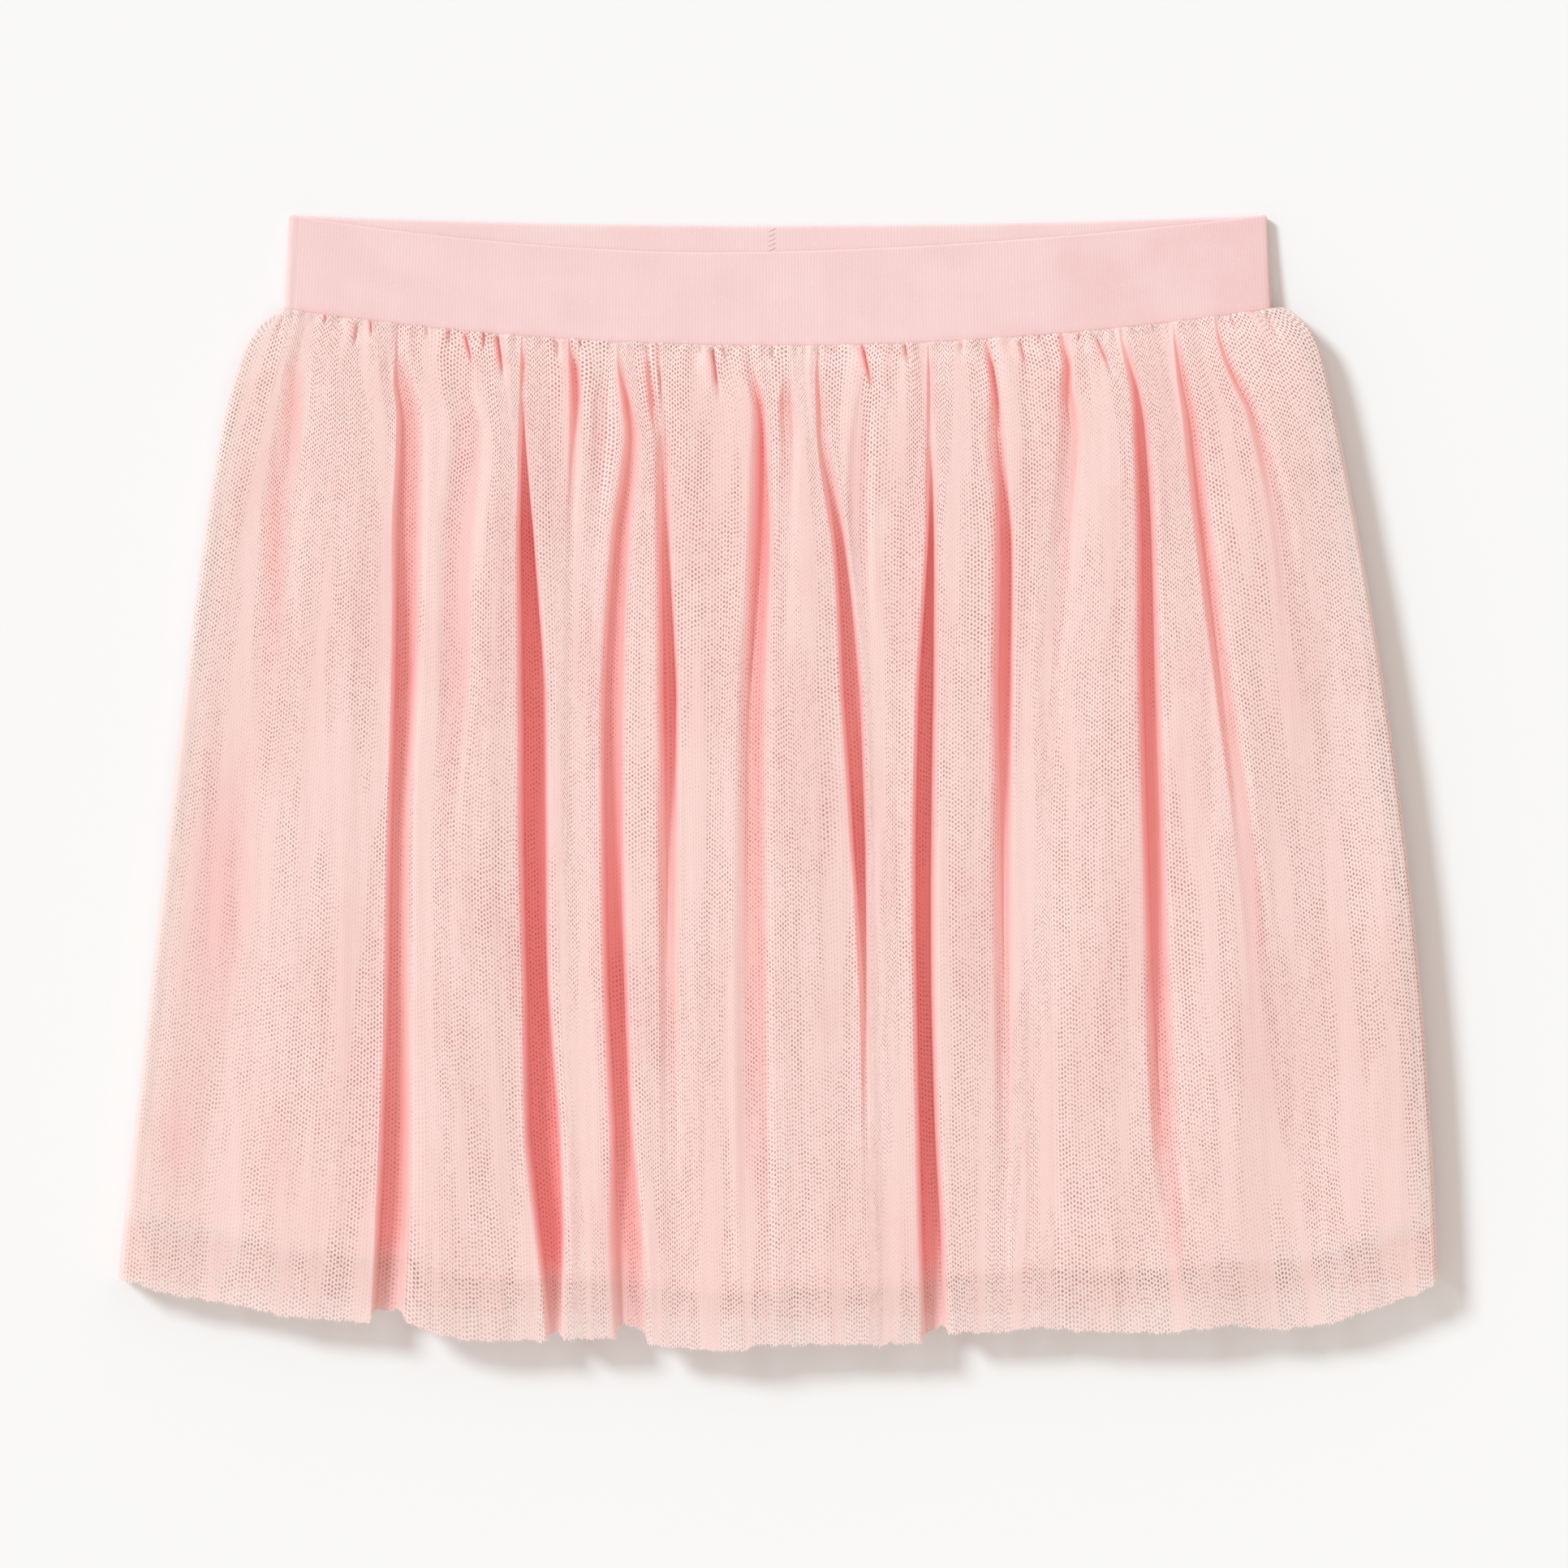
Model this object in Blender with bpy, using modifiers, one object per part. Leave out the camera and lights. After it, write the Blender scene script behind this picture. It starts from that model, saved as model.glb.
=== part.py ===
"""A girl's pull-on tulle skirt, laid flat on a table with its front up.

Five sewn pieces: a knit waistband loop, a gathered tulle front and back, and a knit lining front and
back inside them. X runs across the skirt, Y towards the waist and Z up from the table. The origin is
on the table below the middle of the skirt. The sizes and tables are in millimetres, and the panels
are placed in metres.

Every panel is a grid whose lines run down the cloth, from the waist seam to the hem. `drop` is how
far along a line a point lies: 0 at the seam and 1 at the tulle's hem.
"""
from collections import namedtuple
import math

import bmesh
import bpy

MM = 0.001
NAME = "tulle_skirt"

# Waistband: a loop of doubled rib knit, pressed flat.
BAND_HALF_TOP = 144.8
BAND_HALF_SEAM = 146.3
BAND_WALL = 2.4
BAND_HEIGHT = 5.6
BAND_STRAIGHT_STEPS = 22
BAND_END_STEPS = 6
CORNER_Y = 168.0
FRONT_EDGE_Y = 157.0
FRONT_EDGE_X = -10.0
FRONT_EDGE_POWER = 2.6
BACK_EDGE_Y = 164.9
BACK_EDGE_POWER = 2.0

# The band's wall in section, from its outer face over the folded top edge to its inner face: depth
# into the wall, and how far below the top edge. The two ends with None lie on the waist seam.
BAND_PROFILE = ((0.0, None), (0.0, 0.9), (0.35, 0.25), (1.2, 0.0), (2.05, 0.25), (BAND_WALL, 0.9),
                (BAND_WALL, None))

# Seam where tulle and lining meet the waistband: a shallow bow, lowest in the middle.
SEAM_Y = 128.6
SEAM_BOW = 11.0
SEAM_GAP = 0.3

# Cloth walls and the levels at which the layers lie on each other.
TULLE_WALL = 1.2
BACK_WALL = 1.0
LINING_WALL = 1.0
LAYER_GAP = 0.3
LINING_BACK_Z = BACK_WALL + LAYER_GAP
LINING_FRONT_Z = LINING_BACK_Z + LINING_WALL + LAYER_GAP
TROUGH_Z = LINING_FRONT_Z + LINING_WALL + LAYER_GAP + TULLE_WALL

# Side edges, where the front panel rolls down to meet the back panel.
SIDE_MEET_Z = 3.2
SIDE_WALL = 0.2
SIDE_ROLL = 11.0
SIDE_ROLL_START = 0.45
SIDE_ROLL_GROWTH = 4.0
BACK_CURL = 2.6
BACK_CURL_TURNS = (90.0, 70.0, 38.0)
LINING_INSET = 4.2
LINING_ROLL = 33.0

# Flutes and gathers of the front.
ROLL_POWER = 2.1
ROLL_START = 0.3
ROLL_GROWTH = 6.0
FLOOR_SHARE = 0.45
TROUGH_PLACES = (-1, -FLOOR_SHARE, FLOOR_SHARE, 1)
NARROWEST = 1.2
FLUTE_SPACING = 6.5
CREST_SIDE_LOSS = 0.25
CREST_SWAY_GROWTH = 5.0
GATHER_SPACING = 2.75
GATHER_HEIGHT = 0.8
GATHER_DROP = 0.075
GATHER_SWELL_START = 0.45
GATHER_SWELL_DROP = 0.02
GATHER_CREST, GATHER_VALLEY, GATHER_BROW, GATHER_TROUGH = 1.0, -0.8, 0.5, -0.6
SEAM_CLEARANCE = 0.5
LEAST_CLEARANCE = 0.05
CLEARANCE_DROP = 0.1
LINING_SHARE = 0.48
LINING_FLOOR_SHARE = 1.0
LINING_RISE_DROP = 0.12

# Lining hem, as a drop along the tulle's lines, and the hem of the tulle back.
LINING_END = 0.945
LINING_END_SIDES = 0.022
BACK_HEM_Y = -158.5
BACK_HEM_BOW = 12.5
HEM_HALF = 195.2

# The crests' own gentle waves: share of their height, length, start and skew with the drop.
Sway = namedtuple("Sway", "share length start skew")
SWAYS = (Sway(0.07, 17.0, 1.3, 0.0), Sway(0.05, 7.3, 0.0, 3.0))

# The gathers' own sizes and lengths: share, turn from one line to the next, and start.
Vary = namedtuple("Vary", "share turn start")
GATHER_SIZES = (Vary(0.35, 2.7, 0.0), Vary(0.25, 1.3, 1.0))
GATHER_LENGTHS = (Vary(0.5, 1.9, 2.0),)

# X of a side edge: sign * (start + flare * drop + curve * drop^2), drawn in by `shoulder` at the seam.
Side = namedtuple("Side", "sign start flare curve shoulder shoulder_drop")
SIDES = (
    Side(-1, 163.0, 32.2, 0.0, 14.0, 0.035),
    Side(1, 158.0, 61.5, -24.3, 9.0, 0.015),
)

# Height of the flutes' crests above the bottom of the troughs, at a few drops.
Crest = namedtuple("Crest", "drop height")
CRESTS = (
    Crest(0.0, 1.5), Crest(0.025, 4.2), Crest(0.08, 6.0), Crest(0.2, 7.2),
    Crest(0.5, 8.0), Crest(0.8, 8.3), Crest(1.0, 8.3),
)

# Hem line of the tulle front, from left to right.
Hem = namedtuple("Hem", "x y")
HEM = (
    Hem(-195.2, -146.6), Hem(-178.0, -151.5), Hem(-160.0, -154.2), Hem(-144.0, -157.7),
    Hem(-121.0, -159.3), Hem(-105.0, -161.3), Hem(-90.0, -164.7), Hem(-49.0, -164.3),
    Hem(-35.0, -166.4), Hem(-13.0, -167.8), Hem(0.0, -166.0), Hem(42.0, -165.6),
    Hem(67.0, -162.3), Hem(76.0, -160.6), Hem(95.0, -162.0), Hem(115.0, -162.5),
    Hem(133.0, -160.3), Hem(147.0, -161.4), Hem(163.0, -159.8), Hem(178.0, -154.8),
    Hem(193.0, -148.9), Hem(195.2, -145.4),
)

# The front's troughs, from left to right. `line` is the X of the trough at each drop in LINE_DROPS,
# `wide` its width and `deep` its share of the flutes' height at each drop in SHAPE_DROPS. `rolls`
# says how far the flutes on its left and right take to roll down into it, and `lift` how much
# shorter the hem is at its bottom.
LINE_DROPS = (0.0, 0.1, 0.2, 0.3, 0.5, 0.75, 1.0)
SHAPE_DROPS = (0.0, 0.1, 0.3, 0.5, 0.75, 1.0)
Fold = namedtuple("Fold", "line wide deep rolls lift")
FOLDS = (
    Fold((-144.0, -150.0, -156.6, -162.5, -170.5, -179.5, -184.0),
         (1.7, 2.0, 3.0, 3.0, 3.0, 3.0), (0.15, 0.20, 0.15, 0.12, 0.12, 0.10), (8.0, 8.0), 0.0),
    Fold((-137.6, -143.0, -147.2, -150.1, -155.6, -161.6, -167.0),
         (1.7, 2.8, 4.0, 4.5, 4.0, 4.0), (0.30, 0.40, 0.40, 0.16, 0.08, 0.06), (6.0, 9.0), 0.0),
    Fold((-112.4, -112.0, -111.7, -112.0, -112.2, -113.4, -115.8),
         (1.7, 2.4, 4.1, 4.9, 6.0, 9.3), (0.40, 0.75, 1.0, 1.0, 1.0, 0.95), (4.5, 9.0), 3.6),
    Fold((-97.8, -97.3, -96.4, -95.6, -95.0, -92.5, -91.0),
         (1.7, 2.2, 3.5, 4.0, 4.0, 4.0), (0.20, 0.24, 0.26, 0.20, 0.08, 0.05), (9.0, 9.0), 0.0),
    Fold((-75.2, -75.1, -74.4, -73.3, -72.8, -70.7, -66.3),
         (1.7, 1.8, 6.4, 7.0, 8.6, 4.2), (0.35, 0.60, 1.0, 1.0, 1.0, 0.70), (12.0, 5.5), 2.0),
    Fold((-62.8, -59.9, -61.2, -62.0, -61.4, -58.6, -57.0),
         (1.7, 2.3, 2.0, 2.0, 2.0, 2.0), (0.45, 0.55, 0.05, 0.0, 0.0, 0.0), (4.0, 4.0), 0.0),
    Fold((-53.6, -52.0, -54.0, -56.6, -56.0, -54.6, -52.6),
         (1.7, 2.4, 2.0, 2.0, 2.0, 2.0), (0.35, 0.45, 0.04, 0.0, 0.0, 0.0), (4.0, 4.0), 0.0),
    Fold((-47.9, -44.2, -46.6, -50.3, -49.6, -47.9, -42.6),
         (1.7, 1.9, 4.6, 4.5, 5.6, 10.2), (0.40, 0.60, 0.90, 1.0, 1.0, 0.95), (7.0, 9.0), 3.8),
    Fold((-38.8, -33.6, -33.7, -32.8, -32.3, -32.8, -31.5),
         (1.7, 1.8, 3.3, 4.0, 2.2, 1.8), (0.40, 0.50, 0.85, 0.90, 0.15, 0.0), (6.0, 3.5), 0.0),
    Fold((-9.0, -4.8, -6.8, -9.2, -9.0, -8.5, -6.4),
         (1.7, 1.9, 6.2, 7.0, 7.0, 6.0), (0.35, 0.40, 0.55, 0.55, 0.45, 0.35), (9.0, 5.0), 1.0),
    Fold((3.0, 2.8, 2.8, 3.2, 3.8, 4.2, 5.0),
         (1.7, 2.0, 2.0, 2.0, 2.0, 2.0), (0.25, 0.30, 0.04, 0.0, 0.0, 0.0), (4.0, 5.0), 0.0),
    Fold((10.9, 13.1, 17.0, 20.0, 24.2, 26.8, 28.7),
         (1.7, 1.8, 3.8, 3.4, 1.8, 1.8), (0.40, 0.55, 1.0, 0.95, 0.12, 0.06), (5.0, 6.0), 0.0),
    Fold((37.8, 38.2, 38.0, 37.0, 36.0, 36.0, 37.0),
         (1.7, 2.0, 2.0, 2.0, 2.0, 2.0), (0.30, 0.22, 0.03, 0.0, 0.0, 0.0), (5.0, 5.0), 0.0),
    Fold((45.0, 45.5, 45.1, 44.4, 42.8, 43.3, 46.2),
         (1.7, 1.8, 4.5, 4.8, 5.6, 7.5), (0.35, 0.45, 1.0, 1.0, 1.0, 0.90), (4.0, 8.0), 3.4),
    Fold((62.0, 65.0, 66.8, 67.1, 66.1, 66.1, 66.6),
         (1.7, 2.4, 5.2, 3.5, 1.8, 1.8), (0.40, 0.60, 0.95, 0.80, 0.30, 0.12), (8.0, 3.5), 0.6),
    Fold((84.4, 85.2, 83.0, 80.8, 80.4, 81.0, 82.0),
         (1.7, 3.0, 3.4, 3.0, 3.0, 3.0), (0.35, 0.42, 0.18, 0.0, 0.0, 0.0), (7.0, 7.0), 0.0),
    Fold((101.9, 106.5, 108.5, 109.1, 111.0, 114.0, 119.2),
         (1.7, 2.8, 4.8, 5.2, 6.0, 7.0), (0.40, 0.60, 0.90, 0.90, 0.75, 0.20), (8.0, 9.0), 0.4),
    Fold((117.2, 121.8, 125.0, 128.3, 136.0, 146.5, 153.0),
         (1.7, 2.0, 3.0, 3.4, 3.0, 3.0), (0.35, 0.50, 0.50, 0.35, 0.06, 0.03), (6.0, 9.0), 0.0),
    Fold((128.8, 140.0, 147.0, 151.3, 157.0, 164.8, 172.0),
         (1.7, 3.0, 3.0, 3.0, 3.0, 3.0), (0.35, 0.36, 0.14, 0.10, 0.12, 0.10), (6.0, 9.0), 0.0),
)

# Rows of the grids, as drops, closer together near the gathers.
FRONT_ROWS = (0.0, 0.012, 0.032, 0.062, 0.1, 0.15, 0.215, 0.3, 0.4, 0.52, 0.64, 0.76, 0.88, 1.0)
LINING_ROWS = (0.0, 0.032, 0.1, 0.15, 0.215, 0.3, 0.4, 0.52, 0.64, 0.76, 0.88)
BACK_ROWS = (0.0, 0.012, 0.032, 0.062, 0.1, 0.215, 0.4, 0.64, 0.88, 1.0)
LINING_BACK_ROWS = (0.0, 0.03, 0.1, 0.25, 0.5, 0.75)
BACK_STEPS = 36
LINING_BACK_STEPS = 24

# Colours as linear red, green and blue.
TULLE_PINK = (0.91, 0.60, 0.56, 1.0)
BAND_PINK = (0.93, 0.62, 0.60, 1.0)
LINING_PINK = (0.88, 0.36, 0.35, 1.0)


# --- Curves through the tables ---------------------------------------------------------------------
def smooth_between(places, values, place):
    """Smooth value at a place along a table: cubic between rows, flat beyond its ends."""
    if place <= places[0]:
        return values[0]
    last = len(places) - 1
    if place >= places[last]:
        return values[last]
    low = max(k for k in range(last) if places[k] <= place)

    def slope(k):
        before, after = max(k - 1, 0), min(k + 1, last)
        return (values[after] - values[before]) / (places[after] - places[before])

    span = places[low + 1] - places[low]
    part = (place - places[low]) / span
    rise = values[low + 1] - values[low]
    start, end = slope(low) * span, slope(low + 1) * span
    square, cube = 3 * rise - 2 * start - end, start + end - 2 * rise
    return values[low] + part * (start + part * (square + part * cube))


def straight_between(places, values, place):
    """Value at a place along a table, straight between its rows."""
    for k in range(len(places) - 1):
        if place <= places[k + 1]:
            part = max(0.0, (place - places[k]) / (places[k + 1] - places[k]))
            return values[k] + part * (values[k + 1] - values[k])
    return values[-1]


def side_x(side, drop):
    """X of a side edge of the tulle."""
    shoulder = side.shoulder * math.exp(-drop / side.shoulder_drop)
    return side.sign * (side.start + side.flare * drop + side.curve * drop ** 2 - shoulder)


def seam_y(x):
    """Y of the waist seam."""
    return SEAM_Y + SEAM_BOW * (x / BAND_HALF_SEAM) ** 2


def hem_y(x):
    """Y of the tulle front's hem, with the lift of each trough."""
    line = straight_between([row.x for row in HEM], [row.y for row in HEM], x)
    return line + sum(fold.lift * dip(fold, x, 1.0) for fold in FOLDS)


# --- Troughs and flutes of the front ------------------------------------------------------------------
def fold_centre(fold, drop):
    """X of a trough's middle."""
    return smooth_between(LINE_DROPS, fold.line, drop)


def fold_half(fold, drop):
    """Half of a trough's width."""
    return max(NARROWEST, straight_between(SHAPE_DROPS, fold.wide, drop) / 2)


def dip(fold, x, drop, flat=FLOOR_SHARE):
    """How far a point lies down a trough: 1 on its floor and 0 on the flutes beside it."""
    half = fold_half(fold, drop)
    floor = flat * half
    offset = x - fold_centre(fold, drop)
    opened = min(1.0, ROLL_START + ROLL_GROWTH * drop)
    roll = half - floor + fold.rolls[0 if offset < 0 else 1] * opened
    distance = abs(offset) - floor
    if distance <= 0:
        return 1.0
    if distance >= roll:
        return 0.0
    return 1 - (1 - (1 - distance / roll) ** ROLL_POWER) ** (1 / ROLL_POWER)


def crest_height(x, drop):
    """Height of the flutes above the troughs' floors, a little lower towards the sides."""
    height = smooth_between([row.drop for row in CRESTS], [row.height for row in CRESTS], drop)
    sway = sum(row.share * math.sin(x / row.length + row.start + row.skew * drop) for row in SWAYS)
    grown = min(1.0, CREST_SWAY_GROWTH * drop)
    return height * (1 - CREST_SIDE_LOSS * (x / HEM_HALF) ** 4 + sway * grown)


def flute_height(x, drop, flat=FLOOR_SHARE):
    """Height of the front's cloth above the troughs' floors."""
    height = crest_height(x, drop)
    for fold in FOLDS:
        deep = straight_between(SHAPE_DROPS, fold.deep, drop)
        height *= 1 - deep * dip(fold, x, drop, flat)
    return height


def front_lines(drop):
    """X of every line of the tulle front at a drop: four to a trough, the rest shared out between."""
    left, right = (side_x(side, drop) for side in SIDES)
    groups = []
    for fold in FOLDS:
        centre, half = fold_centre(fold, drop), fold_half(fold, drop)
        groups.append([centre + half * place for place in TROUGH_PLACES])
    groups.append([right - SIDE_WALL, right])
    lines = [left, left + SIDE_WALL]
    for group, steps in zip(groups, FLUTE_STEPS):
        before = lines[-1]
        lines += [before + (group[0] - before) * k / steps for k in range(1, steps)]
        lines += group
    return lines


def flute_gaps(drop):
    """Widths of the flutes between one trough and the next, and of the two at the sides."""
    edges = [side_x(SIDES[0], drop)]
    for fold in FOLDS:
        centre, half = fold_centre(fold, drop), fold_half(fold, drop)
        edges += [centre - half, centre + half]
    edges.append(side_x(SIDES[1], drop))
    return [edges[k + 1] - edges[k] for k in range(0, len(edges), 2)]


def flute_steps():
    """Steps across each flute: an even number, so gathers rise and fall in pairs."""
    return [max(2, 2 * round(top / GATHER_SPACING / 2), 2 * round(hem / FLUTE_SPACING / 2))
            for top, hem in zip(flute_gaps(0.0), flute_gaps(1.0))]


def gather_sides():
    """Which way each line goes in the gathers: up on a crest, down in a valley or trough."""
    sides = [0.0]
    for steps in FLUTE_STEPS:
        flute = [(GATHER_VALLEY, GATHER_CREST)[k % 2] for k in range(steps - 1)]
        sides += [GATHER_BROW, *flute, GATHER_BROW, GATHER_TROUGH, GATHER_TROUGH]
    return sides[:-2] + [0.0]


FLUTE_STEPS = flute_steps()
GATHER_SIDES = gather_sides()


def varied(table, line):
    """A number near 1 that differs from line to line."""
    return 1 + sum(row.share * math.sin(row.turn * line + row.start) for row in table)


def gather(line, drop):
    """Rise and fall of the small gathers below the seam, each of its own size and length."""
    size = GATHER_SIDES[line] * GATHER_HEIGHT * varied(GATHER_SIZES, line)
    length = GATHER_DROP * varied(GATHER_LENGTHS, line)
    swell = GATHER_SWELL_START + (1 - GATHER_SWELL_START) * min(1.0, drop / GATHER_SWELL_DROP)
    return size * swell * math.exp(-(drop / length) ** 2)


def side_roll(x, drop, roll):
    """Share of the full height near the side edges, where the front rolls down to the back."""
    left, right = side_x(SIDES[0], drop), side_x(SIDES[1], drop)
    distance = min(1.0, max(0.0, min(x - left, right - x)) / roll)
    return (1 - (1 - distance) ** 2) ** 0.5


# --- Points of each panel, in millimetres ---------------------------------------------------------------
def line_y(top_x, hem_x, drop):
    """Y along a line of the tulle front."""
    start = seam_y(top_x) - SEAM_GAP
    return start + (hem_y(hem_x) - start) * drop


def front_point(column, row):
    """Outer face of the tulle front."""
    drop = FRONT_ROWS[row]
    x = FRONT_LINES[row][column]
    lowest = max(LEAST_CLEARANCE, SEAM_CLEARANCE * (1 - drop / CLEARANCE_DROP))
    level = TROUGH_Z + max(lowest, flute_height(x, drop) + gather(column, drop))
    meet = SIDE_MEET_Z + SEAM_GAP / 2
    roll = SIDE_ROLL * min(1.0, SIDE_ROLL_START + SIDE_ROLL_GROWTH * drop)
    z = meet + (level - meet) * side_roll(x, drop, roll)
    return x, line_y(FRONT_LINES[0][column], FRONT_LINES[-1][column], drop), z


def lining_columns():
    """Lines of the tulle front that the lining front shares: both edges of a trough and a crest."""
    picked, place = [], 1
    for steps in FLUTE_STEPS[:-1]:
        picked += [place + steps // 2, place + steps, place + steps + 3]
        place += steps + 3
    picked.append(place + FLUTE_STEPS[-1] // 2)
    return [k for k in picked if abs(FRONT_LINES[0][k]) < BAND_HALF_SEAM - LINING_INSET]


def lining_drop(rows, row, x):
    """Drop of a row of the lining, whose last row is its hem."""
    return rows[row] if row < len(rows) else LINING_END - LINING_END_SIDES * (x / HEM_HALF) ** 2


def lining_front_point(column, row):
    """Upper face of the lining front, which follows the tulle's flutes at a part of their height."""
    if column in (0, len(LINING_COLUMNS) + 1):
        side = SIDES[0 if column == 0 else 1]
        inset = side.sign * LINING_INSET
        drop = lining_drop(LINING_ROWS, row, side_x(side, 1.0))
        x = side_x(side, drop) - inset
        top_x, hem_x = side_x(side, 0.0) - inset, side_x(side, 1.0) - inset
        return x, line_y(top_x, hem_x, drop), LINING_FRONT_Z + LINING_WALL
    line = LINING_COLUMNS[column - 1]
    drop = lining_drop(LINING_ROWS, row, FRONT_LINES[-1][line])
    x = front_lines(drop)[line]
    share = LINING_SHARE * min(1.0, drop / LINING_RISE_DROP) * side_roll(x, drop, LINING_ROLL)
    rise = share * flute_height(x, drop, LINING_FLOOR_SHARE)
    y = line_y(FRONT_LINES[0][line], FRONT_LINES[-1][line], drop)
    return x, y, LINING_FRONT_Z + LINING_WALL + rise


def even_x(share, drop, inset):
    """X of a line that lies a share of the way across the skirt."""
    left = side_x(SIDES[0], drop) + inset
    right = side_x(SIDES[1], drop) - inset
    return left + (right - left) * share


def back_hem_y(x):
    """Y of the tulle back's hem."""
    return BACK_HEM_Y + BACK_HEM_BOW * (x / HEM_HALF) ** 2


def back_line_y(share, drop, inset):
    """Y along a line of the back, a share of the way across."""
    start = seam_y(even_x(share, 0.0, inset)) - SEAM_GAP
    return start + (back_hem_y(even_x(share, 1.0, inset)) - start) * drop


def back_point(column, row):
    """Outer face of the tulle back: flat on the table, its two side edges curled up."""
    drop = BACK_ROWS[row]
    curl_steps = len(BACK_CURL_TURNS)
    left, right = side_x(SIDES[0], drop), side_x(SIDES[1], drop)
    from_edge = min(column, BACK_STEPS - column)
    if from_edge < curl_steps:
        turn = math.radians(BACK_CURL_TURNS[from_edge])
        run, z = BACK_CURL * (1 - math.sin(turn)), BACK_CURL * (1 - math.cos(turn))
        x = left + run if column < curl_steps else right - run
    else:
        x, z = even_x((column - curl_steps) / (BACK_STEPS - 2 * curl_steps), drop, BACK_CURL), 0.0
    return x, back_line_y((x - left) / (right - left), drop, 0.0), z


def lining_back_point(column, row):
    """Lower face of the lining back, flat on the tulle back."""
    share = column / LINING_BACK_STEPS
    drop = lining_drop(LINING_BACK_ROWS, row, even_x(share, 1.0, LINING_INSET))
    return even_x(share, drop, LINING_INSET), back_line_y(share, drop, LINING_INSET), LINING_BACK_Z


FRONT_LINES = [front_lines(drop) for drop in FRONT_ROWS]
LINING_COLUMNS = lining_columns()


# --- Waistband -----------------------------------------------------------------------------------------
def front_edge_y(x):
    """Y of the waistband's front top edge, which sags below the back one."""
    reach = BAND_HALF_TOP + (FRONT_EDGE_X if x < FRONT_EDGE_X else -FRONT_EDGE_X)
    share = min(1.0, abs(x - FRONT_EDGE_X) / reach)
    return FRONT_EDGE_Y + (CORNER_Y - FRONT_EDGE_Y) * share ** FRONT_EDGE_POWER


def back_edge_y(x):
    """Y of the waistband's back top edge."""
    share = min(1.0, abs(x) / BAND_HALF_TOP)
    return BACK_EDGE_Y + (CORNER_Y - BACK_EDGE_Y) * share ** BACK_EDGE_POWER


def band_outline():
    """Stations round the flattened loop: the X share, the way out and the top edge of each."""
    stations = []
    for way, edge, other in ((1, front_edge_y, back_edge_y), (-1, back_edge_y, front_edge_y)):
        facing = way * math.pi / 2
        for k in range(BAND_STRAIGHT_STEPS + 1):
            stations.append((way * (2 * k / BAND_STRAIGHT_STEPS - 1), facing, edge))
        for k in range(1, BAND_END_STEPS):
            nearer = edge if k < BAND_END_STEPS / 2 else other
            stations.append((way, facing - math.pi * k / BAND_END_STEPS, nearer))
    return stations


def band_section(share, angle, edge):
    """The wall in section at one station, round its folded top edge: points in millimetres."""
    radius = BAND_HEIGHT / 2
    points = []
    for depth, below in BAND_PROFILE:
        half = (BAND_HALF_SEAM if below is None else BAND_HALF_TOP) - radius
        x = share * half + (radius - depth) * math.cos(angle)
        z = radius + (radius - depth) * math.sin(angle)
        points.append((x, seam_y(x) if below is None else edge(x) - below, z))
    return points


# --- Blender objects -----------------------------------------------------------------------------------
def clear_scene():
    """Remove every object of the open scene."""
    for item in list(bpy.data.objects):
        bpy.data.objects.remove(item, do_unlink=True)


def dress(item, colour, roughness):
    """Give a piece its own material, and round shading."""
    material = bpy.data.materials.new(item.name + "_cloth")
    material.use_nodes = True
    surface = material.node_tree.nodes["Principled BSDF"]
    surface.inputs["Base Color"].default_value = colour
    surface.inputs["Roughness"].default_value = roughness
    surface.inputs["Metallic"].default_value = 0.0
    item.data.materials.append(material)
    item.data.shade_smooth()
    item.data.set_sharp_from_angle(angle=math.radians(50))


def piece_from(shape, name, colour, roughness, collection):
    """Turn a bmesh into a named piece."""
    mesh = bpy.data.meshes.new(name)
    shape.to_mesh(mesh)
    shape.free()
    item = bpy.data.objects.new(name, mesh)
    collection.objects.link(item)
    dress(item, colour, roughness)
    return item


def add_panel(name, steps, place, wall, colour, collection, faces_down=False, even=True):
    """A cloth panel: a grid laid where `place` says, with its wall on the inner side."""
    across, down = steps
    shape = bmesh.new()
    bmesh.ops.create_grid(shape, x_segments=across, y_segments=down, size=0.5)
    for vert in shape.verts:
        column = round((vert.co.x + 0.5) * across)
        row = round((0.5 - vert.co.y) * down)
        vert.co = [value * MM for value in place(column, row)]
    if faces_down:
        bmesh.ops.reverse_faces(shape, faces=shape.faces)
    item = piece_from(shape, name, colour, 0.85, collection)
    solid = item.modifiers.new("wall", "SOLIDIFY")
    solid.thickness = wall * MM
    solid.offset = -1.0
    solid.use_even_offset = even
    return item


def add_waistband(collection):
    """The waistband: one wall section carried round the flattened loop."""
    shape = bmesh.new()
    rings = [[shape.verts.new([value * MM for value in point]) for point in band_section(*station)]
             for station in band_outline()]
    count = len(rings[0])
    for k, ring in enumerate(rings):
        following = rings[(k + 1) % len(rings)]
        for j in range(count):
            after = (j + 1) % count
            shape.faces.new((ring[j], ring[after], following[after], following[j]))
    bmesh.ops.recalc_face_normals(shape, faces=shape.faces)
    return piece_from(shape, "waistband", BAND_PINK, 0.8, collection)


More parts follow.
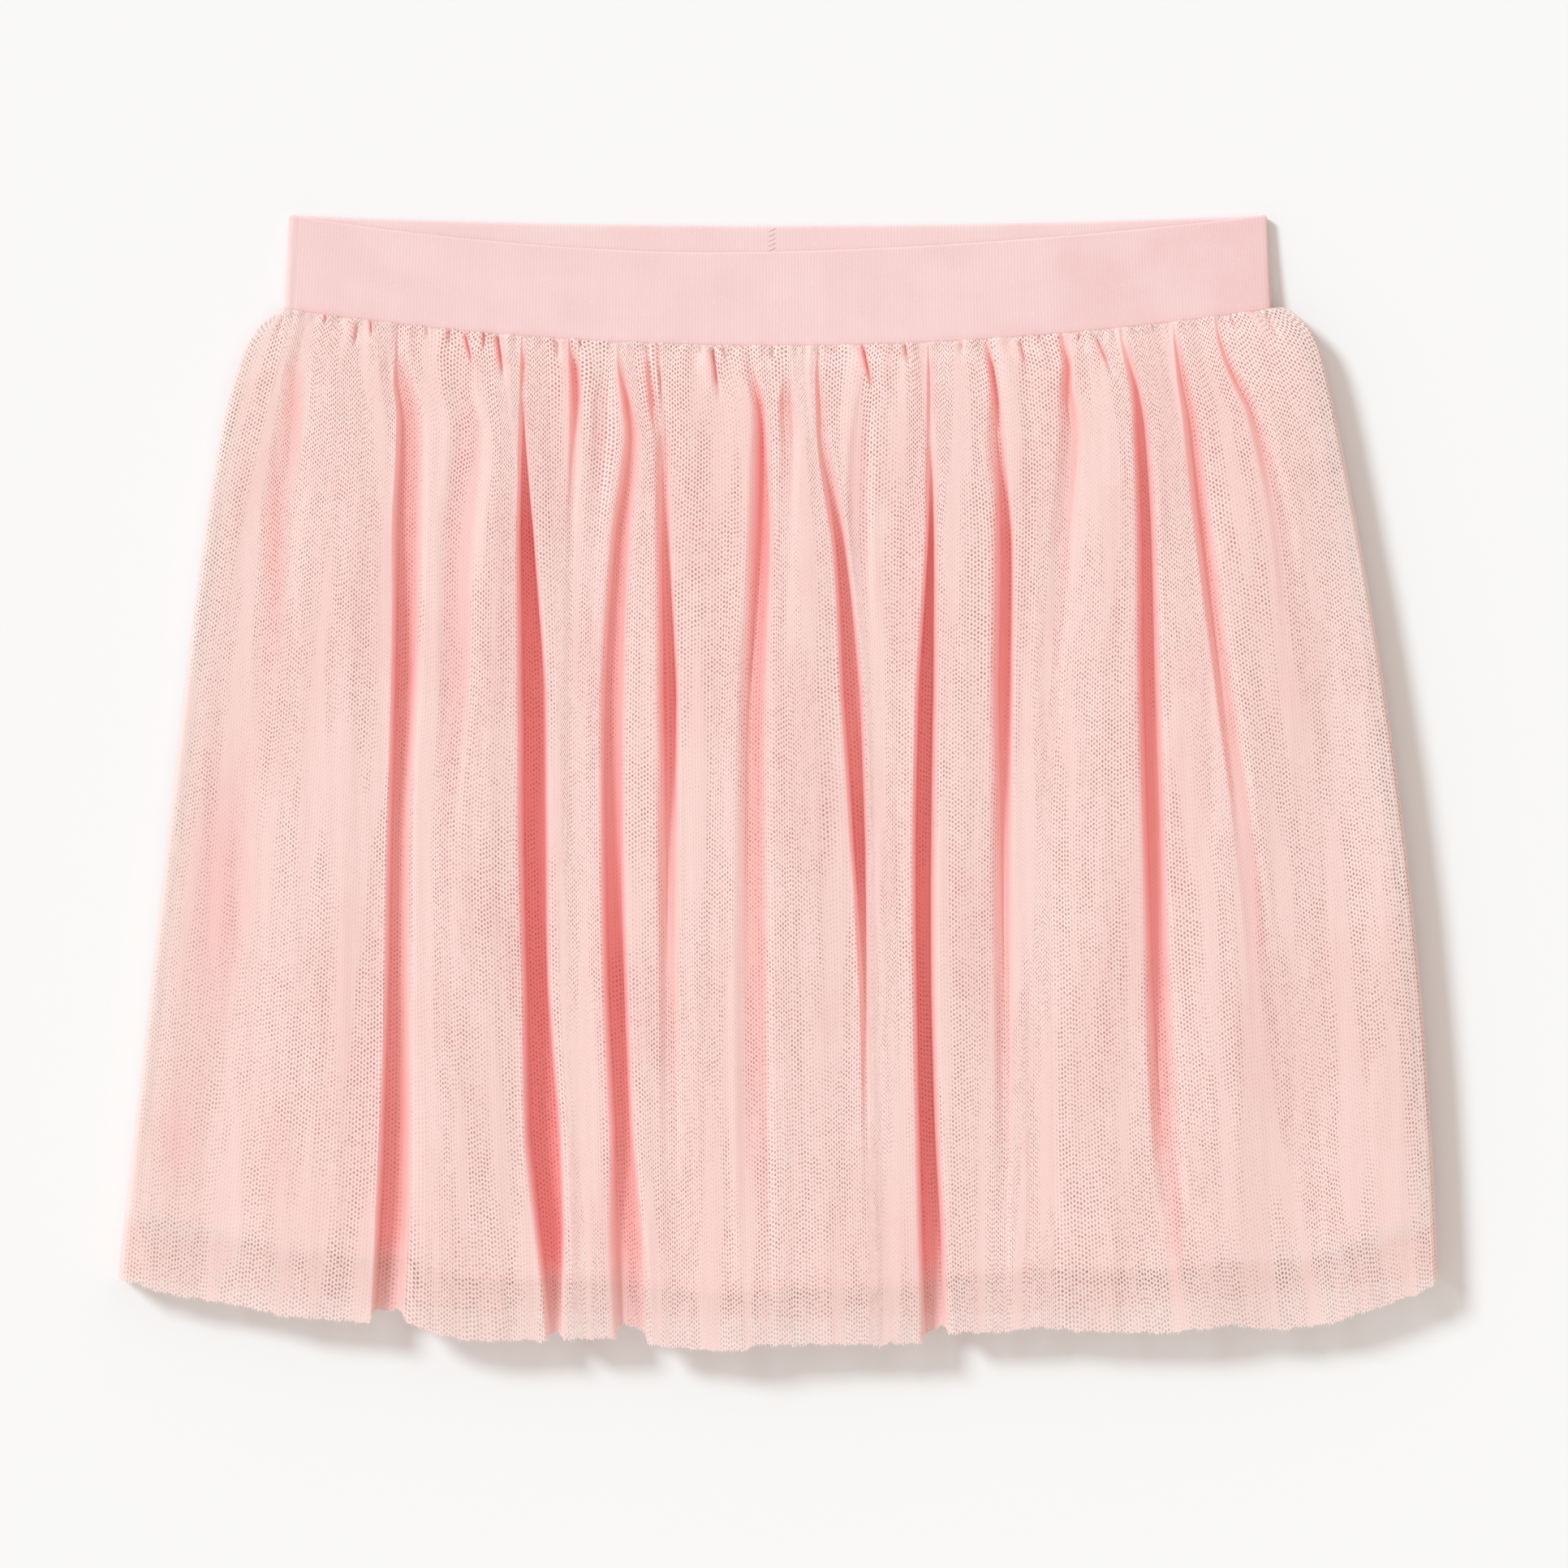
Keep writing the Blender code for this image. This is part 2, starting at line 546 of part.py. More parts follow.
def main():
    """Make the skirt."""
    clear_scene()
    collection = bpy.data.collections.new(NAME)
    bpy.context.scene.collection.children.link(collection)
    add_waistband(collection)
    front_steps = (len(FRONT_LINES[0]) - 1, len(FRONT_ROWS) - 1)
    add_panel("tulle_front", front_steps, front_point, TULLE_WALL, TULLE_PINK, collection, even=False)
    back_steps = (BACK_STEPS, len(BACK_ROWS) - 1)
    add_panel("tulle_back", back_steps, back_point, BACK_WALL, TULLE_PINK, collection, True)
    lining_steps = (len(LINING_COLUMNS) + 1, len(LINING_ROWS))
    add_panel("lining_front", lining_steps, lining_front_point, LINING_WALL, LINING_PINK, collection)
    flat_steps = (LINING_BACK_STEPS, len(LINING_BACK_ROWS))
    add_panel("lining_back", flat_steps, lining_back_point, LINING_WALL, LINING_PINK, collection, True)


main()
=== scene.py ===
"""Dress the tulle skirt: fine net over a jersey lining, a rib waistband, sewing and a plain studio.

Laid out as an add-on, and run as a script. X runs across the skirt, Y towards the waist and Z up
from the table. Tables and sizes are in millimetres unless a name or a comment says otherwise.
`drop` is how far down the cloth a point lies: 0 at the waist seam and 1 at the tulle's hem.
"""
from collections import namedtuple
import math

import bmesh
import bpy
import numpy as np
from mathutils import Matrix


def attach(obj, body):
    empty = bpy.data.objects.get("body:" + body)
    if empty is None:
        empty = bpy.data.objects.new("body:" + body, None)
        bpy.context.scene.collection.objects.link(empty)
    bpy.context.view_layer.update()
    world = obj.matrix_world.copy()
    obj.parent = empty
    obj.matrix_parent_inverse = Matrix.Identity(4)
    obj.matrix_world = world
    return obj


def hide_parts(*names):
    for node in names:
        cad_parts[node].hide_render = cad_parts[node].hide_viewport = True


bl_info = {
    "name": "Tulle Skirt",
    "version": (1, 0, 0),
    "blender": (4, 5, 0),
    "location": "3D View > Sidebar > Skirt",
    "description": "Builds a pull-on tulle skirt that lies flat on a pale studio table",
    "category": "Object",
}

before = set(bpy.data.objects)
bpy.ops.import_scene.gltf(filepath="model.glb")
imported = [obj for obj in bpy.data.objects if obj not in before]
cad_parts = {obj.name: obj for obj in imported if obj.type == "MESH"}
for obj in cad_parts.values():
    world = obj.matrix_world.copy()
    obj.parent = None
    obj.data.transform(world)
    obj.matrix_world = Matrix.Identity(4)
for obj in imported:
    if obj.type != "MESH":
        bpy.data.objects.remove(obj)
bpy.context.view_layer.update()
MM = 0.001

# --- The skirt's plan ---
# The waistband's two edges and its wall.
BAND_HALF_TOP = 144.8
BAND_HALF_SEAM = 146.3
BAND_WALL = 2.4
BAND_HEIGHT = 5.6
FOLD_POWER = 0.55
BAND_THINNING = 1.4
BAND_CLOSING = 0.7
BAND_RIM = 0.9
# How much pinker the front's right part is, and the inner back's painted light against its shade.
BAND_PINKER = 0.7
BAND_INNER_PAINTED_LIGHT = 0.45
LOWEST = 0.02
CORNER_Y = 168.0
FRONT_EDGE_Y = 157.0
FRONT_EDGE_X = -20.0
FRONT_EDGE_POWER = 1.8
BACK_EDGE_Y = 164.9
BACK_EDGE_POWER = 2.0
BACK_SEAM_X, BACK_SEAM_Y = -1.8, (132.0, 163.6)
SEAM_Y = 128.6
SEAM_BOW = 11.0

# Heights of the layers over the table, and how the side edges roll down.
LINING_BACK_Z = 1.4
LINING_FRONT_Z = 3.6
TROUGH_Z = 5.1
SIDE_MEET_Z = 3.3
SIDE_ROLL = 1.9
SIDE_ROLL_POWER = 2.8
SIDE_ROLL_START = 0.45
SIDE_ROLL_GROWTH = 4.0
LINING_INSET = 4.2
LINING_ROLL = 33.0
LINING_SHARE = 0.5
LINING_START = 0.12

# The walls of the troughs, the pinches, and the cloth next to the seam.
ROLL_POWER = 2.6
ROLL_START = 0.3
ROLL_GROWTH = 6.0
FLOOR_SHARE = 0.78
DEPTH_POWER = 1.45
CREASE_SHARE = 0.34
PINCH_SHADE = 0.42
PINCH_PULL = 0.6
PINCH_REACH = 1.6
SEAM_RISE = 0.7
SEAM_RISE_DROP = 0.03
DEEPEST = -0.6
TUCK_Z = 5.35
TUCK_DROP = 0.0016
PUFF = 0.6
PUFF_DROP = 0.004
SOFT_DEPTH = 0.3
CRISP_DEPTH = 0.7
NARROWEST = 0.4
CREST_SIDE_LOSS = 0.25
CREST_SWAY_GROWTH = 5.0

# Where the side edges' slope starts to tell in the painted shade and glow, and how far a
# trough's painted shade reaches.
EDGE_PLAIN = 1.6
EDGE_FADE = 6.0
PAINTED_SHADE_CREST = 5.0
PAINTED_SHADE_FULL = 0.8
PAINTED_SHADE_EDGE = 0.25
PAINTED_SHADE_SPREAD = 0.9

# The hems.
LINING_END = 0.945
LINING_END_SIDES = 0.022
BACK_HEM_Y = -158.5
BACK_HEM_BOW = 12.5
HEM_HALF = 195.2

# Small waves: the height of each, how fast it runs across and down, and its start. The sways'
# height is a share of the crests'.
CREST_SWAYS = ((0.07, 1 / 17, 0, 1.3), (0.05, 1 / 7.3, 3, 0))
FRONT_RIPPLES = ((0.03, 0.9, 7, 0), (0.02, 1.7, -11, 0))
FRONT_HEM_RIPPLES = ((0.16, 2.1, 0, 1), (0.12, 3.7, 0, 0), (0.2, 0.83, 0, 0))
BACK_HEM_RIPPLES = ((0.16, 2.3, 0, 0), (0.2, 0.7, 0, 2))
LINING_FRONT_RIPPLES = ((0.12, 0.5, 9, 0),)
LINING_BACK_RIPPLES = ((0.18, 0.11, 2, 0), (0.1, 0.31, -3, 0))
BAND_RIPPLES = ((0.03, 0.55, 0, 0), (0.02, 1.3, 4, 0))

Side = namedtuple("Side", "sign start flare curve shoulder shoulder_drop corner corner_drop")
SIDES = [Side(*row) for row in (
    (-1, 163, 32.2, 0, 10, 0.085, 7, 0.012), (1, 158, 66, -28.8, 9, 0.015, 0, 1),
)]

# Height of the flutes' crests at some drops.
CRESTS = (
    (0, 1.5), (0.025, 4.2), (0.08, 6), (0.2, 7.2), (0.5, 8), (0.8, 8.3), (1, 8.3),
)

# X and Y along the tulle front's hem.
HEM = (
    (-195.2, -146.6), (-178, -151.5), (-160, -154.2), (-144, -157.7), (-121, -159.4), (-116, -159),
    (-110.5, -158.6), (-103, -162), (-95.6, -164.1), (-88, -164.8), (-49, -164), (-35, -166.4),
    (-13, -167.8), (0, -166), (42, -165.5), (45.5, -165.4), (50.5, -162.6), (67, -162.2),
    (76, -160.6), (95, -162), (115, -162.5), (133, -160.3), (147, -161.4), (163, -159.8),
    (178, -154.8), (193, -148.9), (195.2, -145.4),
)

# The front's troughs, from left to right: the X of each at the drops in LEVELS, its width and its
# share of the full depth there, which also sets how much painted shade it gets, how soft its left
# and right edges are, how much shorter the hem is at its bottom, how much paler its painted shade
# is on one side (on the right below zero, on the left if not), and how crisp and deep its shape is
# for its painted shade. A row of widths or depths that stops early keeps its last value.
LEVELS = (0, 0.03, 0.06, 0.1, 0.2, 0.35, 0.5, 0.65, 0.8, 0.9, 1)
Fold = namedtuple("Fold", "line wide deep soft lift bias relief", defaults=(1,))
FOLDS = [Fold(*row) for row in (
    ((-144, -146, -148, -150.8, -157.8, -165.1, -170.5, -175.6, -180.4, -182.5, -184),
     (1, 2, 2, 2, 3, 4, 5), (0, 0.02, 0.05, 0.07, 0.07, 0.04, 0.02, 0), (5, 5), 0, 0),
    ((-137.6, -139.8, -141.5, -142.4, -146, -150.3, -154.4, -158, -161.6, -164.4, -167),
     (1, 2.2, 4, 5, 5.6, 6), (0.03, 0.08, 0.14, 0.16, 0.1, 0.05, 0.02, 0.02, 0), (6, 4), 0, 0),
    ((-112.2, -112.2, -110.8, -108.9, -109.5, -110.3, -112, -112.5, -113, -113.8, -115.3),
     (0.4, 0.6, 4.4, 5.8, 7.2, 6.6, 5.2, 5.7, 7.8, 9),
     (0.1, 0.25, 0.4, 0.52, 0.6, 0.78, 0.65, 0.66, 0.8, 0.8, 0.7), (1.2, 3), 3, -0.35),
    ((-93, -93.2, -93.2, -90.8, -93.7, -94.8, -98, -97, -96, -95.6, -95.6),
     (1, 3, 5, 6, 7, 6, 5, 4), (0, 0.05, 0.12, 0.2, 0.2, 0.19, 0.06, 0.03, 0), (4, 4), 0, 0),
    ((-75.3, -75.1, -75.2, -75.1, -74.2, -72.3, -71.9, -71.1, -69.1, -67, -65.6),
     (0.5, 1, 0.5, 0.8, 4.4, 7.8, 8, 7.2, 10.4, 7.8, 3.4),
     (0.2, 0.4, 0.2, 0.54, 1, 1, 1, 1, 1, 1, 0.55), (1.4, 1.2), 1.7, 0.1),
    ((-61.4, -60, -59.6, -59.9, -61.1, -62, -62, -61.4, -60, -58.6, -57.4), (0.4, 2.6, 2.4, 1, 0.6),
     (0.2, 0.65, 0.6, 0.35, 0.08, 0.02, 0), (1.4, 1.4), 0, 0.2),
    ((-50, -50.5, -51.5, -51.9, -54.1, -55.6, -55.8, -55.4, -54.6, -53.6, -52.6),
     (0.4, 0.9, 3.1, 2.4, 1, 0.6), (0, 0.1, 0.22, 0.26, 0.08, 0), (3, 1.4), 0, 0.3),
    ((-47.2, -46.2, -44.6, -43, -46.3, -48.6, -48.8, -47.8, -45.9, -44.6, -43.2),
     (0.5, 0.8, 1.5, 2.4, 4, 5.4, 5.6, 5.8, 5.4, 8.4, 8),
     (0.1, 0.35, 0.58, 0.52, 0.6, 0.62, 0.72, 0.92, 0.76, 0.6, 0.46), (1.6, 2.4), 4.2, 0.2),
    ((-38.5, -37.8, -36.7, -35.4, -36.6, -36.6, -36.6, -36.6, -36.2, -35.6, -35),
     (0.4, 0.9, 1.6, 0.6, 0.5), (0.2, 0.35, 0.4, 0.1, 0), (1.4, 2), 0, 0),
    ((-33, -33.2, -33.5, -33.4, -33.2, -31.9, -31.8, -31.6, -31.4, -31.2, -31),
     (0.4, 0.4, 0.5, 1.2, 2.4, 4.5, 3.2, 2.4, 3),
     (0, 0, 0.05, 0.34, 0.64, 0.88, 0.54, 0.3, 0.12, 0.05, 0), (2.5, 1.6), 0, 0.35),
    ((-8.3, -7.2, -5.3, -4.7, -4.6, -6.6, -6.9, -6.7, -6.3, -5.8, -5.2),
     (0.4, 1, 1.4, 1.1, 3.4, 4.6, 5.4, 6.4, 6.6, 6.4, 6),
     (0.2, 0.3, 0.74, 0.94, 0.92, 0.6, 0.5, 0.38, 0.26, 0.14, 0.08), (3.6, 2.6), 0.8, 0.3, 0.6),
    ((3, 2.9, 2.8, 3.4, 2.6, 2.8, 3.2, 3.6, 4, 4.4, 4.6), (0.4, 1.2, 2.6, 2.4, 2, 1),
     (0, 0.12, 0.35, 0.22, 0.05, 0), (2.4, 2.4), 0, 0),
    ((12.4, 12.1, 12.6, 13.5, 18.4, 21.9, 24.1, 25.8, 26.3, 26.8, 27.2),
     (0.4, 0.9, 1.1, 1.5, 3, 5.8, 3.8, 0.8, 0.5),
     (0.1, 0.3, 0.35, 0.3, 0.68, 0.78, 0.86, 0.38, 0.08, 0), (1.4, 1.8), 0, -0.2),
    ((26.8, 26.2, 25.4, 24.6, 24.2, 27.4, 28.6, 29.6, 30.2, 30.6, 31), (0.5, 1, 3, 4, 4, 2, 1),
     (0, 0.05, 0.12, 0.2, 0.18, 0.05, 0), (2.4, 3), 0, 0),
    ((44.8, 44.9, 45, 45.2, 45.2, 43.9, 43.1, 43.2, 44.2, 45.4, 46.4),
     (0.4, 0.4, 0.4, 0.5, 1.5, 5, 5.4, 4.9, 5.2, 6.6),
     (0.2, 0.32, 0.32, 0.24, 0.88, 0.94, 0.94, 0.94, 0.94, 0.88, 0.62), (1.4, 2.6), 3.2, -0.3),
    ((61.6, 63.4, 64.6, 65.4, 67.4, 67.1, 67.1, 67.5, 67.5, 66.8, 66.6),
     (0.4, 1.2, 1.4, 1.8, 3.8, 4.4, 2.8, 2, 1.4, 1),
     (0.4, 0.7, 0.66, 0.48, 0.88, 0.86, 0.58, 0.42, 0.2, 0.08, 0), (3.6, 1.2), 0.5, 0.5),
    ((84.1, 85.8, 85.9, 87.4, 85.2, 82.4, 80.6, 81, 81.4, 81.8, 82), (0.4, 1.4, 2.2, 3.2, 2.8, 2),
     (0.3, 0.6, 0.6, 0.36, 0.26, 0.09, 0.03, 0), (4, 1.6), 0, 0.3),
    ((101.4, 103.6, 105.8, 107.3, 108.9, 109.7, 111.1, 112.5, 114.7, 117.4, 120.8),
     (0.4, 0.6, 1.1, 2.5, 3.4, 4.4, 4.8, 4.5, 4),
     (0.2, 0.4, 0.62, 0.74, 0.77, 0.79, 0.75, 0.64, 0.38, 0.05, 0), (3, 3.2), 0.4, -0.25),
    ((117.2, 118.4, 119.9, 122.2, 125.5, 131.4, 137.7, 142.7, 146.3, 149.8, 153.2),
     (0.4, 0.8, 1.6, 2.2, 2.4, 2.3, 3.5, 5, 6),
     (0.2, 0.36, 0.47, 0.5, 0.57, 0.42, 0.17, 0.08, 0.04, 0), (2, 3), 0, 0),
    ((129.5, 131.6, 135, 140.8, 148.2, 153, 156.8, 161.2, 164.8, 167.8, 170.8),
     (0.4, 0.6, 0.8, 1.2, 3.2, 4, 5, 6), (0.2, 0.35, 0.46, 0.42, 0.19, 0.04, 0.02, 0), (2.2, 4), 0,
     -0.3),
)]

# Soft creases pressed across the flutes: the line's X where it starts and ends, the drops between
# which it runs, its width and its height, below zero for a trough.
FRONT_CREASES = (
    (-158, -186, 0.1, 0.98, 5.5, 0.55), (-150, -172, 0.3, 1, 6.5, -0.4),
    (-143, -160, 0.15, 0.85, 7, 0.35), (-130, -145, 0.08, 1, 6, -0.65),
    (-124, -131, 0.15, 0.95, 5, 0.6), (-104, -102, 0.3, 1, 4, -0.35), (-86, -83, 0.25, 1, 5, 0.5),
    (-60, -58, 0.12, 0.9, 4, -0.4), (-25, -22, 0.1, 1, 5, 0.55), (-17, -14, 0.2, 0.95, 3.5, -0.35),
    (9, 14, 0.15, 1, 5, 0.45), (26, 34, 0.45, 1, 3, -0.55), (55, 55, 0.2, 1, 5, 0.45),
    (74, 74, 0.18, 0.95, 4.5, -0.45), (94, 98, 0.12, 1, 5.5, 0.55),
    (130, 137, 0.15, 0.95, 4.5, 0.45), (139, 152, 0.2, 0.8, 6, -0.4), (150, 166, 0.3, 1, 7, 0.4),
    (158, 181, 0.2, 1, 7, -0.4),
)
BACK_CREASES = (
    (-138, -176, 0.02, 1, 5, 0.55), (-120, -148, 0.05, 0.9, 6, 0.45),
    (-101, -119, 0.02, 1, 4.5, 0.6), (-80, -97, 0.08, 0.85, 5, 0.4), (-62, -69, 0.02, 1, 4, 0.6),
    (-41, -50, 0.1, 0.95, 6, 0.45), (-22, -21, 0.02, 1, 4.5, 0.55), (-4, 3, 0.05, 0.8, 5, 0.4),
    (17, 24, 0.02, 1, 4, 0.6), (38, 52, 0.08, 0.95, 5.5, 0.45), (61, 71, 0.02, 1, 4.5, 0.55),
    (83, 101, 0.05, 0.85, 5, 0.45), (103, 125, 0.02, 1, 4, 0.6), (121, 149, 0.08, 0.95, 6, 0.4),
    (137, 174, 0.02, 1, 4.5, 0.55),
)

# Narrow pinches of the gathered cloth just below the seam: X at the start and end, the drops
# between which each runs, half its width and its depth.
PINCHES = (
    (-146.5, -148.5, 0.01, 0.035, 0.8, 0.6), (-133.8, -133.9, 0, 0.012, 0.5, 1.2),
    (-124.4, -125.2, 0.008, 0.032, 0.8, 0.9), (-120.4, -120.1, 0, 0.02, 0.5, 1.4),
    (-104, -103.6, 0, 0.014, 0.5, 0.8), (-97, -97.3, 0, 0.02, 0.6, 0.8),
    (-92.3, -90.2, 0.007, 0.034, 0.6, 1.7), (-86.8, -87, 0, 0.021, 0.5, 1.6),
    (-82.8, -80.9, 0.004, 0.048, 0.7, 2.2), (-65.2, -65, 0.004, 0.026, 0.6, 1.3),
    (-58.4, -58.2, 0, 0.014, 0.5, 1), (-35.4, -34, 0, 0.078, 0.5, 1.3),
    (-23.2, -22.4, 0, 0.012, 0.5, 0.8), (-19.2, -17.2, 0.006, 0.06, 0.7, 1.9),
    (-16.4, -14.6, 0.002, 0.02, 0.5, 1.2), (-1.5, -2, 0.002, 0.02, 0.5, 1.1),
    (17.4, 17, 0, 0.012, 0.5, 0.8), (25, 28.1, 0, 0.049, 0.7, 1.9),
    (37.5, 38.7, 0.002, 0.024, 0.5, 1.6), (54.2, 54.8, 0, 0.016, 0.5, 0.9),
    (71.8, 74, 0.007, 0.038, 0.6, 1.4), (77.2, 77.8, 0, 0.01, 0.5, 1),
    (89.3, 88.8, 0, 0.012, 0.5, 0.9), (94.6, 99.4, 0.01, 0.05, 0.6, 1.1),
    (110.5, 111.5, 0, 0.012, 0.5, 0.8), (134, 136.5, 0.002, 0.022, 0.6, 0.8),
    (144.5, 148.5, 0.004, 0.034, 0.7, 0.9),
)

# Pinker patches that take the troughs' painted shade and painted glow: the middle's X and drop,
# half its width, half its length in drops, and how pink it is.
TINGES = (
    (-163, 0.56, 17, 0.24, 0.22), (-148, 0.84, 17, 0.13, 0.17), (-148.4, 0.24, 6, 0.18, 0.24),
    (-143.6, 0.09, 4, 0.08, 0.2), (118, 0.9, 5, 0.11, 0.22), (-96, 0.3, 6, 0.2, 0.06),
    (-98, 0.78, 8, 0.2, 0.05), (-22, 0.62, 9, 0.18, 0.05), (8, 0.72, 6, 0.18, 0.06),
    (54, 0.66, 5, 0.22, 0.06), (88, 0.5, 9, 0.24, 0.06), (129, 0.58, 9, 0.16, 0.08),
    (147, 0.46, 14, 0.22, 0.11), (171, 0.8, 13, 0.14, 0.07), (141, 0.6, 4, 0.13, 0.11),
    (-178, 0.85, 12, 0.1, 0.18), (-171, 0.7, 15, 0.22, 0.1),
)

# Small irregular waves of the gathers: height, length, start and how far down they reach.
GATHER_WAVES = (
    (0.24, 0.55, 0, 0.009), (0.26, 0.92, 1.3, 0.022), (0.28, 1.7, 2.1, 0.06), (0.22, 2.9, 4, 0.12),
)

# Small nicks and tabs of the raw hem: place, width, and how far the edge moves, below zero where it
# is longer.
NICKS = (
    (-189.5, 2, 0.9), (-171, 1.6, 0.5), (-147.5, 2.4, -0.6), (-118, 1.5, 0.6), (-96.5, 2.6, 0.5),
    (-70, 2, -0.5), (-45.5, 1.6, 0.7), (-20, 2.2, -0.4), (10.5, 1.8, 0.5), (30.4, 1.7, -0.9),
    (33.6, 1.4, 0.5), (56, 2.2, 0.4), (88, 2, -0.5), (109, 1.6, 0.5), (134.3, 1.7, 1.1),
    (150, 2.4, -0.5), (171.5, 1.8, 0.6), (188.6, 1.6, -0.8),
)

# Rows of a sheet, as (drop, rows down to it), closer together near the gathers.
FRONT_BANDS = ((0.025, 20), (0.06, 12), (0.16, 17), (1.0, 56))
BACK_BANDS = ((0.04, 8), (0.14, 10), (1.0, 48))
LINING_BANDS = ((0.14, 12), (1.0, 54))
# Points across the sheets, and round the waistband and its wall.
FLUTE_COLUMNS = 730
TROUGH_COLUMNS = 8
CROWDING = 0.72
BACK_COLUMNS = 300
CURL_STEPS = 8
LINING_COLUMNS = 260
BAND_ROWS = 24
RIM_STEPS = 12
BAND_STATIONS = 150
FOLD_STEPS = 20


# --- Curves through the tables ---
def unit(value):
    """A value kept from 0 to 1."""
    return np.clip(value, 0.0, 1.0)


def at_level(values, drop):
    """A trough's number at a drop, from its row of them."""
    return np.interp(drop, LEVELS[:len(values)], values)


def smooth_between(places, values, place):
    """Smooth values at places along a table: cubic between rows, flat beyond its ends."""
    places, values = np.asarray(places, float), np.asarray(values, float)
    last = len(places) - 1
    before = np.maximum(np.arange(last + 1) - 1, 0)
    after = np.minimum(np.arange(last + 1) + 1, last)
    slopes = (values[after] - values[before]) / (places[after] - places[before])
    place = np.clip(place, places[0], places[-1])
    low = np.clip(np.searchsorted(places, place, side="right") - 1, 0, last - 1)
    span = places[low + 1] - places[low]
    part = (place - places[low]) / span
    rise = values[low + 1] - values[low]
    start, end = slopes[low] * span, slopes[low + 1] * span
    square, cube = 3 * rise - 2 * start - end, start + end - 2 * rise
    return values[low] + part * (start + part * (square + part * cube))


def side_x(side, drop):
    """X of a side edge of the tulle."""
    shoulder = side.shoulder * np.exp(-drop / side.shoulder_drop)
    corner = side.corner * np.exp(-drop / side.corner_drop)
    run = side.start + side.flare * drop + side.curve * drop ** 2
    return side.sign * (run - (shoulder + corner))


def side_edges(drop):
    """X of the left and the right side edge."""
    return [side_x(side, drop) for side in SIDES]


def seam_y(x):
    """Y of the waist seam."""
    return SEAM_Y + SEAM_BOW * (x / BAND_HALF_SEAM) ** 2


def ripples(waves, x, drop=0.0):
    """The sum of a table's small waves."""
    return sum(high * np.sin(x * across + drop * down + start)
               for high, across, down, start in waves)


def bump_of(distance, width):
    """A soft hump: 1 in the middle and near 0 at its width."""
    return np.exp(-2.5 * (distance / width) ** 2)


def smooth_hem_y(x):
    """The tulle front's hem line without its nicks and lifts."""
    return np.interp(x, *zip(*HEM))


def hem_y(x):
    """Y of the tulle front's raw hem, with the lift of each trough and its small nicks."""
    line = smooth_hem_y(x)
    for fold in FOLDS:
        inside = (fold_half(fold, 1.0) + 0.7 - np.abs(x - fold_centre(fold, 1.0))) / 0.9
        line = line + fold.lift * unit(inside)
    for place, width, move in NICKS:
        line = line + move * bump_of(x - place, width)
    return line + ripples(FRONT_HEM_RIPPLES, x)


def back_hem_y(x):
    """Y of the tulle back's hem."""
    return BACK_HEM_Y + BACK_HEM_BOW * (x / HEM_HALF) ** 2


# --- Troughs, flutes and gathers of the front ---
def fold_centre(fold, drop):
    """X of a trough's middle."""
    return smooth_between(LEVELS, fold.line, drop)


def fold_half(fold, drop):
    """Half of a trough's width."""
    return np.maximum(NARROWEST, at_level(fold.wide, drop)) / 2


def soft_fall(part):
    """An even S-curve from 1 at 0 down to 0 at 1."""
    return (1 - part) ** 2 * (1 + 2 * part)


def roll_growth(drop):
    """How far the soft edges have grown below the seam."""
    return unit(ROLL_START + ROLL_GROWTH * drop)


def from_fold(fold, x, drop):
    """A point's offset from a trough's middle, half the trough's width, and its edge's softness."""
    offset = x - fold_centre(fold, drop)
    return offset, fold_half(fold, drop), np.where(offset < 0, *fold.soft)


def dip(fold, x, drop, flat=FLOOR_SHARE):
    """How far a point lies down a trough: 1 on its floor and 0 on the flutes beside it."""
    offset, half, softness = from_fold(fold, x, drop)
    floor = flat * half
    roll = half - floor + softness * roll_growth(drop)
    part = unit((np.abs(offset) - floor) / roll)
    rolled = 1 - (1 - (1 - part) ** ROLL_POWER) ** (1 / ROLL_POWER)
    soft = soft_fall(part)
    crisp = unit((at_level(fold.deep, drop) - SOFT_DEPTH) / (CRISP_DEPTH - SOFT_DEPTH))
    return soft + (rolled - soft) * crisp * fold.relief


def crest_height(x, drop):
    """Height of the flutes above the troughs' floors, a little lower towards the sides."""
    height = smooth_between(*zip(*CRESTS), drop)
    sway = ripples(CREST_SWAYS, x, drop) * unit(CREST_SWAY_GROWTH * drop)
    return height * (1 - CREST_SIDE_LOSS * (x / HEM_HALF) ** 4 + sway)


def open_share(x, drop, flat=FLOOR_SHARE):
    """Share of the crests' height that a point of the front keeps: 0 in the deepest troughs."""
    share = np.ones(np.broadcast(x, drop).shape)
    for fold in FOLDS:
        sunk = fold.relief * at_level(fold.deep, drop) ** DEPTH_POWER
        share = share * (1 - sunk * dip(fold, x, drop, flat))
    return share


def painted_trough_shade(x, drop):
    """How much painted trough shade a point has: full on a trough's floor, none on the flutes."""
    glow = np.zeros(np.broadcast(x, drop).shape)
    for fold in FOLDS:
        offset, half, softness = from_fold(fold, x, drop)
        edge = PAINTED_SHADE_EDGE * half + 0.15 + (softness - 1.0) * PAINTED_SHADE_SPREAD * roll_growth(drop)
        part = unit((np.abs(offset) - PAINTED_SHADE_FULL * half) / np.maximum(edge, 0.1))
        pale = 0.5 - 0.5 * np.sign(fold.bias) * np.clip(offset / half, -1.0, 1.0)
        deep = at_level(fold.deep, drop) * (1 - abs(fold.bias) * pale)
        glow = np.maximum(glow, deep * soft_fall(part))
    tinge = sum(share * bump_of(x - at_x, width) * bump_of(drop - at_drop, length)
                for at_x, at_drop, width, length, share in TINGES)
    return np.maximum(glow, tinge + glow * (1 - tinge))


